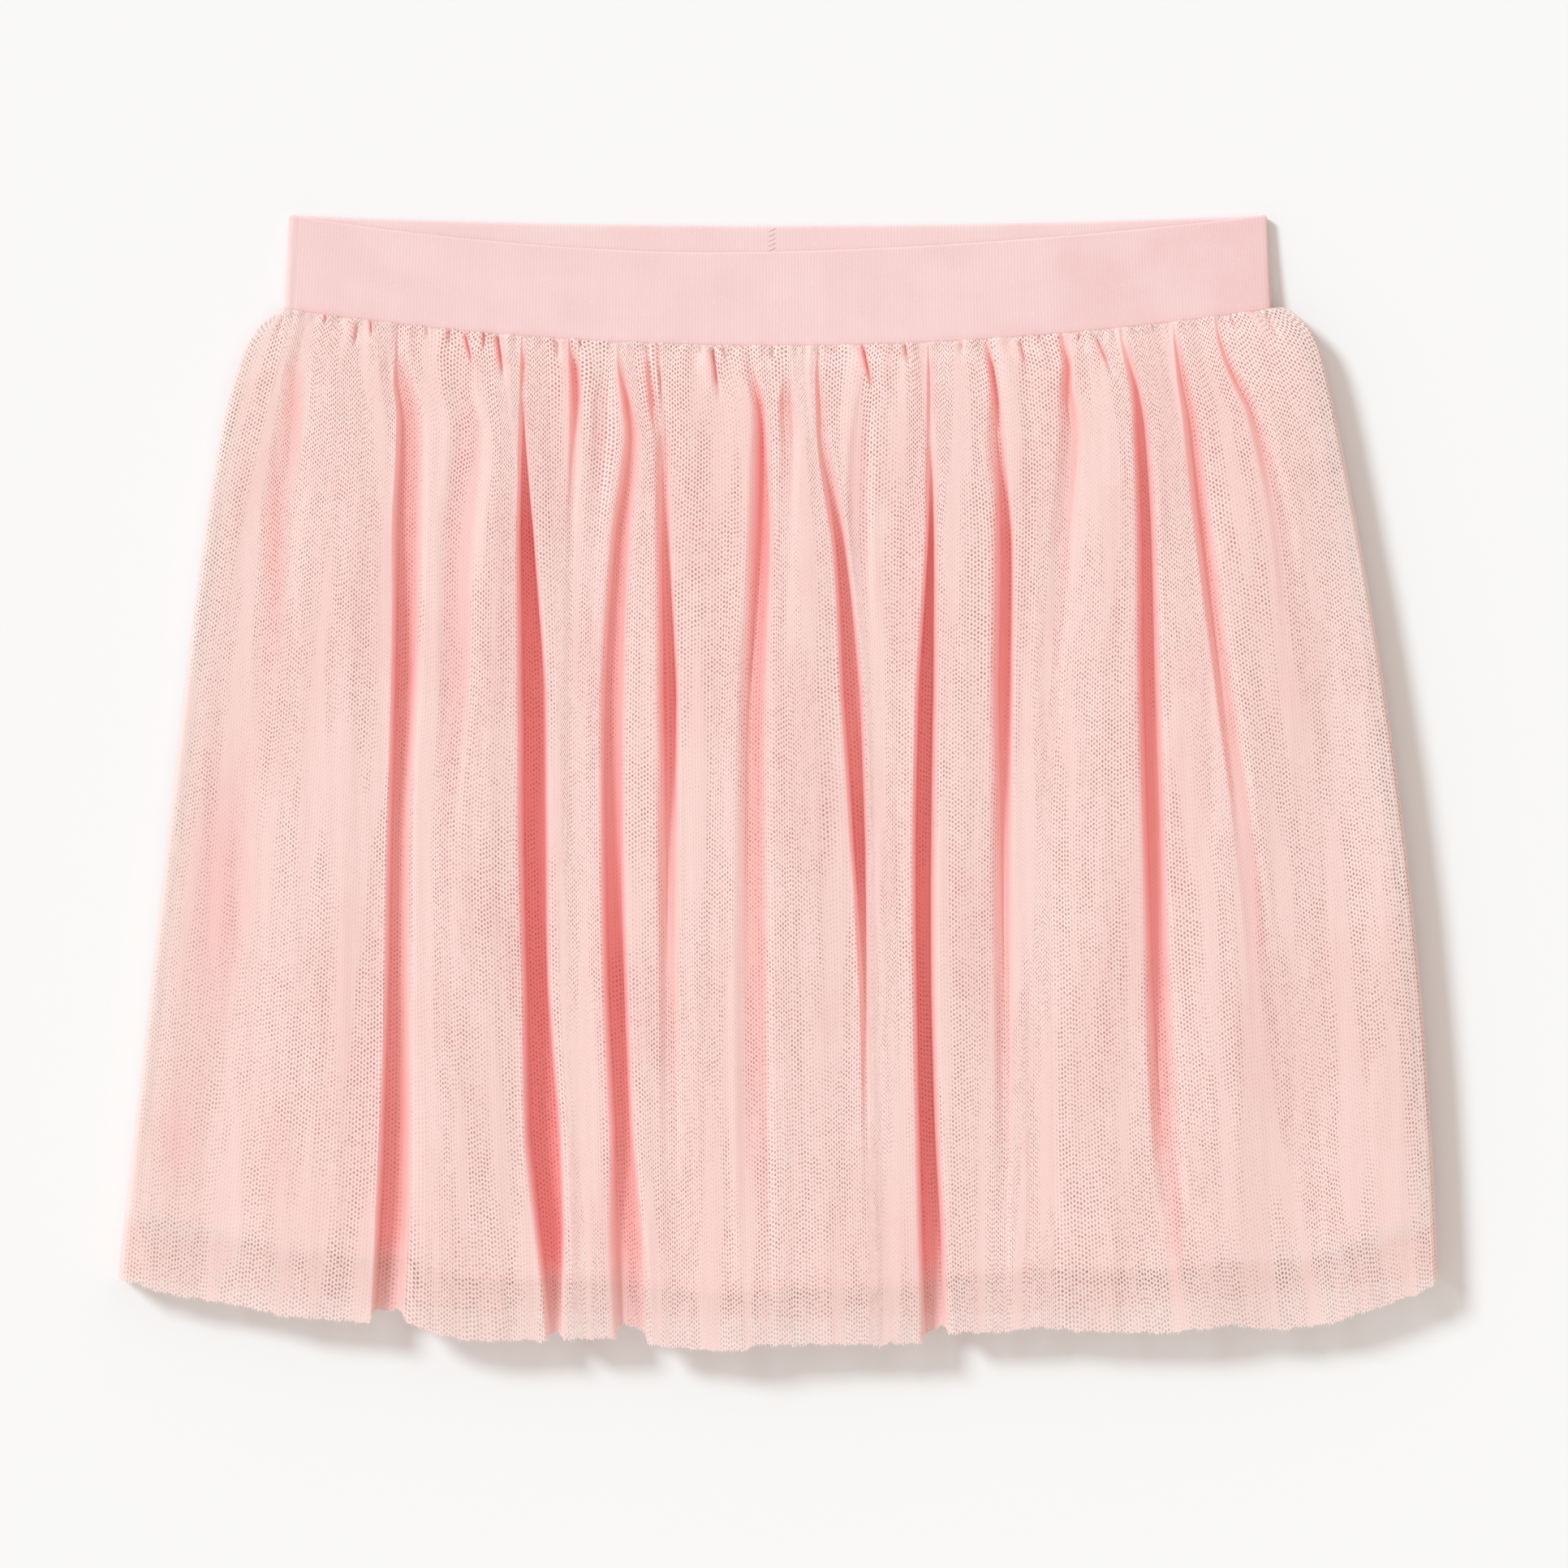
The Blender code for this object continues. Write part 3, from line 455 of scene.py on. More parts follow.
def front_edges(drop):
    """X of the front's side edges and of both edges of each trough, from left to right."""
    left, right = side_edges(drop)
    edges = [left]
    for fold in FOLDS:
        centre, half = fold_centre(fold, drop), fold_half(fold, drop)
        edges += [centre - half, centre + half]
    return edges + [right]


def flute_columns():
    """How many columns each flute gets, by its width."""
    top, hem = front_edges(0.0), front_edges(1.0)
    widths = [hem[k + 1] - hem[k] + top[k + 1] - top[k] for k in range(0, len(top), 2)]
    return [max(6, 2 * round(FLUTE_COLUMNS * width / sum(widths) / 2)) for width in widths]


FLUTES = flute_columns()


def front_columns(drop):
    """X of the front's columns at each drop, closer together at the edges of the flutes."""
    edges = front_edges(drop)
    columns = []
    for k, count in enumerate(FLUTES):
        part = np.arange(count) / count
        part = part - CROWDING * np.sin(2 * math.pi * part) / (2 * math.pi)
        columns.append(edges[2 * k] + (edges[2 * k + 1] - edges[2 * k]) * part)
        if k < len(FOLDS):
            part = np.arange(TROUGH_COLUMNS) / TROUGH_COLUMNS
            columns.append(edges[2 * k + 1] + (edges[2 * k + 2] - edges[2 * k + 1]) * part)
    return np.concatenate(columns + [edges[-1]], axis=1)


def pinch_place(start_x, end_x, start, end, drop):
    """Where a pinch is at a drop, and how strong: it tapers towards its end."""
    part = (drop - start) / (end - start)
    centre = start_x + (end_x - start_x) * unit(part)
    strong = unit((part + 0.12) * 6) * unit((1.0 - part) * 1.8)
    return centre, strong


def gathers(start_x, drop):
    """Rise and fall of the small gathers, which run down from their places along the seam."""
    height = 0.0
    for high, length, start, reach in GATHER_WAVES:
        phase = start_x / length + start + 1.6 * np.sin(start_x * 0.13 + start)
        swell = 0.62 + 0.38 * np.sin(start_x * 0.071 + 2.3 * start)
        height = height + high * swell * np.sin(phase) * np.exp(-(drop / reach) ** 2)
    return height


def side_roll(x, drop, roll):
    """Share of the full height near the side edges, where the front rolls down to the back."""
    left, right = side_edges(drop)
    distance = unit(np.minimum(x - left, right - x) / roll)
    return (1 - (1 - distance) ** SIDE_ROLL_POWER) ** (1 / SIDE_ROLL_POWER)


def creased(creases, x, drop):
    """Height of the soft creases at a point."""
    height = np.zeros(np.broadcast(x, drop).shape)
    for start_x, end_x, start, end, width, high in creases:
        part = unit((drop - start) / (end - start))
        centre = start_x + (end_x - start_x) * part
        inside = (drop > start) & (drop < end + 0.01)
        fade = np.where(inside, np.minimum(1.0, 6 * np.minimum(part + 0.02, 1.15 - part)), 0.0)
        height = height + high * fade * bump_of(x - centre, width)
    return height


def rows_of(bands):
    """Drops of a sheet's rows."""
    rows, start = [0.0], 0.0
    for end, count in bands:
        rows += [start + (end - start) * (k + 1) / count for k in range(count)]
        start = end
    return np.array(rows)


# --- The sheets' points: arrays of rows by columns, in millimetres ---
Sheet = namedtuple("Sheet", "x y z weave glow lean", defaults=(None, None))
FRONT_LENGTH, BACK_LENGTH, LINING_LENGTH = 303.0, 300.0, 288.0


def lean_of(x, z):
    """How steeply a sheet rises across its lines, above zero, or falls, below it."""
    slope = np.gradient(z, axis=1) / np.maximum(0.05, np.abs(np.gradient(x, axis=1)))
    soft = np.ones(5) / 5
    return np.apply_along_axis(lambda row: np.convolve(row, soft, mode="same"), 1, slope)


def run_along(first, second):
    """Length run from the start of each line to each of its points."""
    steps = np.hypot(np.diff(first), np.diff(second))
    return np.concatenate([0 * steps[..., :1], np.cumsum(steps, axis=-1)], axis=-1)


def weave_of(x, y, z, anchors, length):
    """Net coordinates in millimetres: across by the cloth's own width between anchors, and down."""
    run = run_along(x, z)
    across = np.zeros_like(run)
    for low, high in zip(anchors[:-1], anchors[1:]):
        part = run[:, low:high + 1] - run[:, low:low + 1]
        width = np.percentile(part[len(run) // 8:, -1], 75)
        across[:, low:high + 1] = across[:, low:low + 1] + part / part[:, -1:] * width
    down = (y[0] - y) / (y[0] - y[-1]) * length
    return np.stack([across, down], axis=-1)


def plain_sheet(x, y, z, length):
    """A sheet without troughs, whose weave runs straight across it."""
    return Sheet(x, y, z, weave_of(x, y, z, [0, x.shape[1] - 1], length))


def tulle_front_sheet():
    """Outer face of the tulle front."""
    drop = rows_of(FRONT_BANDS)[:, None]
    x = front_columns(drop)
    start_x = x[0]
    groove = np.zeros_like(x)
    places = [pinch_place(*pinch[:4], drop) for pinch in PINCHES]
    for centre, strong in places:
        x = x - PINCH_PULL * strong * (x - centre) * np.exp(-((x - centre) / PINCH_REACH) ** 2)
    for (centre, strong), (*_, width, depth) in zip(places, PINCHES):
        groove = np.maximum(groove, strong * depth * bump_of(x - centre, width))
    share = open_share(x, drop)
    crest = crest_height(x, drop) + SEAM_RISE * np.exp(-drop / SEAM_RISE_DROP)
    crease = CREASE_SHARE * creased(FRONT_CREASES, x, drop) * unit(6 * drop)
    height = crest * share + crease * share
    height = height + gathers(start_x, drop) * (0.4 + 0.6 * share)
    height = height + ripples(FRONT_RIPPLES, x, drop) * unit(8 * drop) - groove
    lowest = np.maximum(DEEPEST, 0.3 - 60 * drop)
    level = TROUGH_Z + np.maximum(lowest, height)
    roll = SIDE_ROLL * unit(SIDE_ROLL_START + SIDE_ROLL_GROWTH * drop)
    z = SIDE_MEET_Z + (level - SIDE_MEET_Z) * side_roll(x, drop, roll)
    start = seam_y(start_x) + 0.5
    y = start + (hem_y(x[-1]) - start) * drop
    puff = np.clip(height - 0.6, 0.0, 2.0) * np.exp(-((drop - PUFF_DROP) / PUFF_DROP) ** 2)
    y = y + PUFF * puff * (0.6 + 0.4 * np.sin(start_x * 0.7))
    tuck = np.exp(-(drop / TUCK_DROP) ** 2)
    z = z * (1 - tuck) + np.minimum(z, TUCK_Z) * tuck
    anchors, at = [0], 0
    for count in FLUTES[:-1]:
        anchors += [at + count // 2, at + count + TROUGH_COLUMNS // 2]
        at += count + TROUGH_COLUMNS
    anchors += [at + FLUTES[-1] // 2, x.shape[1] - 1]
    # The troughs' painted shade, less where the crests are low, and painted shade in the pinches.
    glow = painted_trough_shade(x, drop) * unit(crest / PAINTED_SHADE_CREST)
    glow = np.maximum(glow, PINCH_SHADE * groove)
    left, right = side_edges(drop)
    inward = np.minimum(x - left, right - x)
    lean = lean_of(x, z) * unit((inward - EDGE_PLAIN) / EDGE_FADE)
    return Sheet(x, y, z, weave_of(x, y, z, anchors, FRONT_LENGTH), glow, lean)


def tulle_back_sheet():
    """Outer face of the tulle back: pressed on the table, its side edges curled up to the front."""
    drop = rows_of(BACK_BANDS)[:, None]
    curl = SIDE_MEET_Z
    left, right = side_edges(drop)
    turns = np.radians(np.linspace(90.0, 0.0, CURL_STEPS + 1))
    run, rise = curl * (1 - np.sin(turns)), curl * (1 - np.cos(turns))
    middle = np.linspace(0.0, 1.0, BACK_COLUMNS)[None, :]
    flat = (left + curl) + (right - left - 2 * curl) * middle
    x = np.concatenate([left + run[:-1], flat, (right - run[:-1])[:, ::-1]], axis=1)
    pressed = 0.08 + np.maximum(0.0, creased(BACK_CREASES, flat, drop))
    pressed = pressed * np.minimum(1.0, np.minimum(middle, 1 - middle) * 40)
    edge = np.broadcast_to(rise[:-1], (len(drop), CURL_STEPS))
    z = np.concatenate([edge, pressed, edge[:, ::-1]], axis=1)
    share = (x - left) / (right - left)
    top_x = left[0] + (right[0] - left[0]) * share
    hem_x = left[-1] + (right[-1] - left[-1]) * share
    start = seam_y(top_x)
    hem = back_hem_y(hem_x) + ripples(BACK_HEM_RIPPLES, hem_x)
    y = start + (hem - start) * drop
    return plain_sheet(x, y, z, BACK_LENGTH)


def lining_place(hem):
    """X, Y and drop of a lining panel, inset from the tulle's side edges."""
    part = rows_of(LINING_BANDS)[:, None]
    share = np.linspace(0.0, 1.0, LINING_COLUMNS)[None, :]

    def across(drop):
        left, right = side_edges(drop)
        left, right = left + LINING_INSET, right - LINING_INSET
        return left + (right - left) * share

    end = LINING_END - LINING_END_SIDES * (across(1.0) / HEM_HALF) ** 2
    drop = part * end
    start = seam_y(across(0.0))
    return across(drop), start + (hem(across(1.0)) - start) * drop, drop


def lining_front_sheet():
    """Upper face of the lining front, which follows the tulle's flutes at half of their height."""
    x, y, drop = lining_place(smooth_hem_y)
    rise = LINING_SHARE * crest_height(x, drop) * open_share(x, drop, 1.0)
    rise = rise * unit(drop / LINING_START) * side_roll(x, drop, LINING_ROLL)
    z = LINING_FRONT_Z + (rise + ripples(LINING_FRONT_RIPPLES, x, drop))
    return plain_sheet(x, y, z, LINING_LENGTH)


def lining_back_sheet():
    """Lining back, flat on the tulle back with a few soft waves."""
    x, y, drop = lining_place(back_hem_y)
    z = LINING_BACK_Z + ripples(LINING_BACK_RIPPLES, x, drop)
    return plain_sheet(x, y, z, LINING_LENGTH)


def front_edge_y(x):
    """Y of the waistband's front top edge, which sags below the back one."""
    reach = BAND_HALF_TOP + np.where(x < FRONT_EDGE_X, FRONT_EDGE_X, -FRONT_EDGE_X)
    share = unit(np.abs(x - FRONT_EDGE_X) / reach)
    return FRONT_EDGE_Y + (CORNER_Y - FRONT_EDGE_Y) * share ** FRONT_EDGE_POWER


def back_edge_y(x):
    """Y of the waistband's back top edge."""
    share = unit(np.abs(x) / BAND_HALF_TOP)
    return BACK_EDGE_Y + (CORNER_Y - BACK_EDGE_Y) * share ** BACK_EDGE_POWER


def band_wall():
    """The waistband's wall in section: its depth into the wall, and how far below the top edge."""
    down = np.linspace(1.0, 0.0, BAND_ROWS)
    turn = np.linspace(0.0, math.pi, RIM_STEPS + 1)[1:-1]
    middle = BAND_WALL / 2
    chamfer = 0.3 * np.maximum(0.0, (down - 0.95) / 0.05) ** 1.5
    depth = [chamfer, middle - middle * np.cos(turn), 0 * down + BAND_WALL]
    below = [down, 0 * turn, down[::-1]]
    rise = [0 * down, BAND_RIM * np.sin(turn), 0 * down]
    return np.concatenate(depth), np.concatenate(below), np.concatenate(rise)


def band_loop():
    """Stations round the flattened loop: X share, way out, and which edge each is nearer."""
    share, facing, front = [], [], []
    for way in (1, -1):
        for k in range(BAND_STATIONS):
            share.append(way * (2 * k / (BAND_STATIONS - 1) - 1))
            facing.append(way * math.pi / 2)
            front.append(way > 0)
        for k in range(1, FOLD_STEPS):
            share.append(way)
            facing.append(way * math.pi / 2 - math.pi * k / FOLD_STEPS)
            front.append((way > 0) == (k < FOLD_STEPS / 2))
    return (np.array(v)[:, None] for v in (share, facing, front))


def band_points():
    """The waistband's closed wall: arrays of stations by places round its section."""
    share, facing, front = band_loop()
    depth, below, rise = band_wall()
    radius = BAND_HEIGHT / 2
    half = BAND_HALF_SEAM - radius + (BAND_HALF_TOP - BAND_HALF_SEAM) * (1 - below)
    outward = np.sign(np.cos(facing)) * np.abs(np.cos(facing)) ** FOLD_POWER
    upward = np.sign(np.sin(facing)) * np.abs(np.sin(facing)) ** FOLD_POWER
    x = share * half + (radius - depth) * outward
    edge = np.where(front, front_edge_y(x), back_edge_y(x)) - BAND_RIM
    y = seam_y(x) + (edge - seam_y(x)) * (1 - below) + rise
    wave = ripples(BAND_RIPPLES, x, below) * unit(below * 4) * (depth < 0.6)
    z = radius + (radius - depth + wave) * upward
    pressed = (1 - below) * np.maximum(0.0, upward)
    z = z - pressed * (BAND_CLOSING + BAND_THINNING * (1 - depth / BAND_WALL))
    run, along = run_along(x[:, 0], z[:, 0])[:, None], run_along(y[0], depth)
    weave = np.stack(np.broadcast_arrays(run, along), axis=-1)
    # The front's right part is pinker; the inner back is painted lighter against the shade inside
    # the loop.
    deeper = np.where(facing > 0, BAND_PINKER * unit((x - 20.0) / 110.0), -BAND_INNER_PAINTED_LIGHT)
    return Sheet(x, y, np.maximum(z, LOWEST), weave, np.broadcast_to(deeper, x.shape))


# --- Meshes ---
def cloth_mesh(name, sheet, round_x=False, faces_down=False):
    """A piece of cloth from its points: weave as a UV map, painted shading and lean as attributes.
    """
    rows, columns = sheet.x.shape
    index = np.arange(rows * columns).reshape(rows, columns)
    if round_x:
        index = np.vstack([index, index[:1]])
        index = np.hstack([index, index[:, :1]])
    corners = [index[:-1, :-1], index[1:, :-1], index[1:, 1:], index[:-1, 1:]]
    faces = np.stack(corners, axis=-1).reshape(-1, 4)
    if faces_down:
        faces = faces[:, ::-1]
    mesh = bpy.data.meshes.new(name)
    points = np.stack([sheet.x, sheet.y, sheet.z], axis=-1).reshape(-1, 3) * MM
    mesh.from_pydata(points.tolist(), [], faces.tolist())
    weave = sheet.weave.reshape(-1, 2)[faces.reshape(-1)]
    mesh.uv_layers.new(name="weave").data.foreach_set("uv", weave.astype(np.float32).reshape(-1))
    for name in ("glow", "lean"):
        values = getattr(sheet, name)
        values = np.zeros_like(sheet.x) if values is None else values
        layer = mesh.attributes.new(name, "FLOAT", "POINT")
        layer.data.foreach_set("value", values.astype(np.float32).reshape(-1))
    mesh.shade_smooth()
    mesh.update()
    return mesh


def add_object(name, data):
    """Put a mesh, curve, light or camera in the scene, in place of an older one of that name."""
    old = bpy.data.objects.get(name)
    if old is not None:
        bpy.data.objects.remove(old, do_unlink=True)
    made = bpy.data.objects.new(name, data)
    bpy.context.scene.collection.objects.link(made)
    return made


def add_part(name, mesh):
    """Put a finished mesh in the scene as a part of the skirt."""
    part = add_object(name, mesh)
    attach(part, "root")
    return part


def add_piece(name, mesh, material, node):
    """Put a finished mesh in the scene as the piece that stands for one of the solids."""
    mesh.materials.append(material)
    piece = add_part(name, mesh)
    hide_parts(node)
    return piece


# --- Materials ---
def maths(operation, flipped=False):
    """A method of Wire that makes one arithmetic node."""
    def method(self, *others):
        return self.join(operation, *((*others, self) if flipped else (self, *others)))
    return method


class Wire:
    """A number in a material's node tree, written as plain arithmetic."""

    def __init__(self, cloth, socket):
        self.cloth = cloth
        self.socket = socket

    def join(self, operation, *values):
        node = self.cloth.node("ShaderNodeMath", dict(operation=operation), *values)
        return Wire(self.cloth, node.outputs[0])

    __add__, __radd__ = maths("ADD"), maths("ADD", True)
    __sub__, __rsub__ = maths("SUBTRACT"), maths("SUBTRACT", True)
    __mul__, __rmul__ = maths("MULTIPLY"), maths("MULTIPLY", True)
    __truediv__ = maths("DIVIDE")
    floor, fract, cos, root = maths("FLOOR"), maths("FRACT"), maths("COSINE"), maths("SQRT")
    least, most = maths("MINIMUM"), maths("MAXIMUM")

    def odd(self):
        """1 on odd whole numbers and 0 on even ones."""
        return (self * 0.5).fract() * 2

    def ramp(self, low, high, start=0.0, end=1.0):
        """A soft step from `start` at low to `end` at high."""
        settings = dict(interpolation_type="SMOOTHSTEP")
        node = self.cloth.node("ShaderNodeMapRange", settings, self, low, high, start, end)
        return Wire(self.cloth, node.outputs[0])


class Tree:
    """A node tree under construction: every node comes from `node`."""

    def feed(self, socket, value):
        """Link a socket, or set its value."""
        value = value.socket if isinstance(value, Wire) else value
        if isinstance(value, bpy.types.NodeSocket):
            self.tree.links.new(value, socket)
        else:
            socket.default_value = (*value, 1.0) if socket.type == "RGBA" else value

    def node(self, kind, settings, *values, **named):
        """A node of a type, with its settings, then the values or links of its sockets."""
        made = self.tree.nodes.new(kind)
        for key, value in settings.items():
            setattr(made, key, value)
        for key, value in [*enumerate(values), *named.items()]:
            self.feed(made.inputs[key.replace("_", " ") if isinstance(key, str) else key], value)
        return made


class ClothMaterial(Tree):
    """A material under construction."""

    def __init__(self, name):
        old = bpy.data.materials.get(name)
        if old is not None:
            bpy.data.materials.remove(old)
        self.material = bpy.data.materials.new(name)
        self.material.use_nodes = True
        self.tree = self.material.node_tree
        self.tree.nodes.clear()

    def weave(self):
        """Net coordinates in millimetres: across the wales and down them."""
        uv = self.node("ShaderNodeUVMap", dict(uv_map="weave"))
        parts = self.node("ShaderNodeSeparateXYZ", {}, uv.outputs[0])
        return Wire(self, parts.outputs[0]), Wire(self, parts.outputs[1])

    def attribute(self, name):
        settings = dict(attribute_name=name, attribute_type="GEOMETRY")
        made = self.node("ShaderNodeAttribute", settings)
        return Wire(self, made.outputs["Fac"])

    def noise(self, across, down, detail=1.0):
        """Cloudy variation over two coordinates, about 0.2 to 0.8."""
        place = self.node("ShaderNodeCombineXYZ", {}, across, down, 0.0)
        made = self.node("ShaderNodeTexNoise", dict(noise_dimensions="2D"), place.outputs[0],
                         Scale=1.0, Detail=detail, Roughness=0.5)
        return Wire(self, made.outputs[0])

    def each(self, column, row):
        """A number from 0 to 1 of its own for every cell of a grid."""
        place = self.node("ShaderNodeCombineXYZ", {}, column, row, 0.0)
        made = self.node("ShaderNodeTexWhiteNoise", dict(noise_dimensions="2D"), place.outputs[0])
        return Wire(self, made.outputs[0])

    def mix(self, factor, first, second):
        """A colour between two others."""
        made = self.node("ShaderNodeMix", dict(data_type="RGBA", clamp_factor=True))
        for place, value in ((0, factor), (6, first), (7, second)):
            self.feed(made.inputs[place], value)
        return made.outputs[2]

    def bump(self, height, strength, distance):
        made = self.node("ShaderNodeBump", {}, Strength=strength, Distance=distance, Height=height)
        return made.outputs[0]

    def surface(self, colour, roughness, **sockets):
        """A plain surface of a colour."""
        made = self.node("ShaderNodeBsdfPrincipled", {}, Base_Color=colour, Roughness=roughness,
                         **sockets)
        return made.outputs[0]

    def finish(self, surface):
        """Set the surface, and return the material."""
        self.node("ShaderNodeOutputMaterial", {}, surface)
        return self.material


def cells(wave):
    """Height of a ridge at each whole number: 1 on it and 0 halfway to the next."""
    return (wave * (2 * math.pi)).cos() * 0.5 + 0.5


def net_material(name, net):
    """Stretch net: staggered holes between fine wales, clear in some bands and closed in others."""
    cloth = ClothMaterial(name)
    across, down = cloth.weave()
    wale = across / net.pitch_mm
    wander = cloth.noise(across * 0.25, down * 0.03)
    course = (down + wander * 2.2) / net.course_mm + wale.floor().odd() * 0.5
    bands = cloth.noise(across * 0.13, down * 0.02).ramp(0.36, 0.64)
    patchy = cloth.noise(across * 0.28, down * 0.11).ramp(0.34, 0.66)
    lean = cloth.attribute("lean")
    falling = lean * -1
    steep = lean.most(falling)
    # Walls that fall to the right, turned from the key light: they get painted shade and a painted
    # glow.
    away = falling.ramp(0.06, 0.9)
    # The painted shade of the troughs, tinges and pinches, read from the mesh.
    depth = cloth.attribute("glow")
    glow = depth.ramp(0.08, 0.95)
    level = steep.ramp(0.5, 1.6, 1.0, 0.1).most(glow)
    closed = cloth.noise(across * 0.1 + 40.0, down * 0.01).ramp(0.52, 0.64)
    gathered = down.ramp(6.0, 70.0, 1.0, 0.0)
    calm = across.ramp(20.0, 70.0, 1.0, 0.0) * down.ramp(120.0, 220.0)
    calm = calm * (1 - down.ramp(275.0, 285.0))
    opened = (bands * 0.32 + patchy * 0.3 + gathered * 0.35 + 0.32).least(1.1)
    opened = opened * (1 - closed * 0.8) * (1 - calm * 0.45) * level
    off_x = (wale.fract() - 0.5) * (net.pitch_mm / (net.hole_mm * 0.5))
    off_y = (course.fract() - 0.5) * (net.course_mm / (net.hole_mm * 0.65))
    uneven = cloth.each(wale.floor(), course.floor())
    hole = (off_x * off_x + off_y * off_y).root().ramp(0.7, 1.25, 1.0, 0.0)
    hole = hole * opened * (uneven * 0.8 + 0.5)
    ridge = cells(wale)
    tint = cloth.noise(across * 0.035, down * 0.016, 2.0).ramp(0.35, 0.65)
    beyond = down.ramp(281.0, 287.0)
    light = cloth.mix(tint.most((1 - opened) * 0.6), net.light, net.warm)
    # Below the lining's hem the net takes some painted shade tint, for the shaded layers under it.
    light = cloth.mix(beyond * 0.5, light, net.painted_shade_tint)
    # Painted glints where the threads between the holes catch the light.
    painted_glint_mask = ridge * cells(course * 2) * (1.2 - uneven)
    light = cloth.mix((painted_glint_mask * opened * net.painted_glint_strength).least(1.0), light, net.bright)
    # Painted shade: a deeper pink where the net sinks into a trough, stands steep or turns from the
    # light.
    painted_shade_tint = depth.ramp(0.02, 0.4).most(steep.ramp(0.1, 0.9)).most(away)
    # Painted shade of the troughs: coral on their floors, a greyer pink below the lining's hem.
    body = cloth.mix(glow * (1 - beyond), cloth.mix(painted_shade_tint, light, net.painted_shade_tint), net.trough)
    body = cloth.mix(glow * beyond, body, net.trough_shade_hem)
    # Painted shade between the wales in the troughs.
    groove = cloth.mix(glow, net.groove, net.trough_shade_groove)
    striped = cloth.mix((1 - ridge) * (level * 0.16 + opened * 0.12), body, groove)
    # Painted shade in the holes: the dark of the shaded layers behind, coral in the troughs.
    colour = cloth.mix(hole.least(1.0), striped, cloth.mix(glow, net.hole, net.trough_shade_hole))
    # Painted glow, as emission: light caught in the troughs and coming through walls turned from
    # the light.
    caught = cloth.mix(depth.ramp(0.05, 0.8) * (1 - beyond * 0.6), (0.0, 0.0, 0.0), net.warmth)
    warmth = cloth.mix(away * (1 - glow * 0.6) * (1 - beyond * 0.5), caught, net.wall_painted_glow)
    seen = (1 - (hole * (beyond * 0.35 + net.see_through) + net.open_share)).most(0.0)
    height = ridge * 0.5 + (1 - hole) * 0.5
    surface = cloth.surface(colour, 0.85, Alpha=seen, Emission_Color=warmth,
                            Normal=cloth.bump(height, 0.35, 0.12 * MM), Emission_Strength=1.0,
                            Specular_IOR_Level=0.2)
    through = cloth.node("ShaderNodeBsdfTranslucent", {}, net.through)
    share = seen * net.through_share
    both = cloth.node("ShaderNodeMixShader", {}, share, surface, through.outputs[0])
    return cloth.finish(both.outputs[0])


def jersey_material(name, jersey):
    """Smooth jersey lining: fine wales, a shade deeper than the net."""
    cloth = ClothMaterial(name)
    across, down = cloth.weave()
    ridge = cells(across / jersey.wale_mm)
    cloud = cloth.noise(across * 0.05, down * 0.05, 2.0)
    factor = ridge * 0.25 + cloud * 0.5
    colour = cloth.mix(factor, jersey.deep, jersey.light)
    knit = cloth.bump(ridge, 0.2, 0.08 * MM)
    return cloth.finish(cloth.surface(colour, 0.8, Normal=knit, Sheen_Weight=0.2))


def rib_material(name, band):
    """Fine rib knit: upright wales that show in some places, crossed by small pale dashes."""
    cloth = ClothMaterial(name)
    across, down = cloth.weave()
    ridge = cells(across / band.wale_mm)
    course = cells(down / band.course_mm)
    patch = cloth.noise(across * 0.035, down * 0.03).ramp(0.45, 0.65)
    dash = cloth.noise(across * 0.55, down * 3.6).ramp(0.6, 0.72)
    speck = cloth.noise(across * 3.2, down * 0.5).ramp(0.58, 0.72)
    cloud = cloth.noise(across * 0.04, down * 0.09, 2.0).ramp(0.3, 0.7)
    factor = 0.31 + ridge * (patch * 0.3 + 0.06) + dash * (1 - patch) * 0.3 + speck * patch * 0.26
    # Painted light: the inner back is paler against the shade inside the loop; the front's right
    # part is pinker.
    factor = factor - cloth.attribute("glow") * 0.35
    base = cloth.mix(cloud, band.deep, band.middle)
    colour = cloth.mix(factor.least(1.0).most(0.0), base, band.light)
    height = ridge * 0.7 + course * 0.2 + dash * 0.2
    knit = cloth.bump(height, 0.3, 0.1 * MM)
    surface = cloth.surface(colour, 0.8, Normal=knit, Sheen_Weight=0.3, Sheen_Roughness=0.4)
    return cloth.finish(surface)


def thread_material(name, colour):
    """Spun sewing thread."""
    cloth = ClothMaterial(name)
    return cloth.finish(cloth.surface(colour, 0.6, Sheen_Weight=0.3))


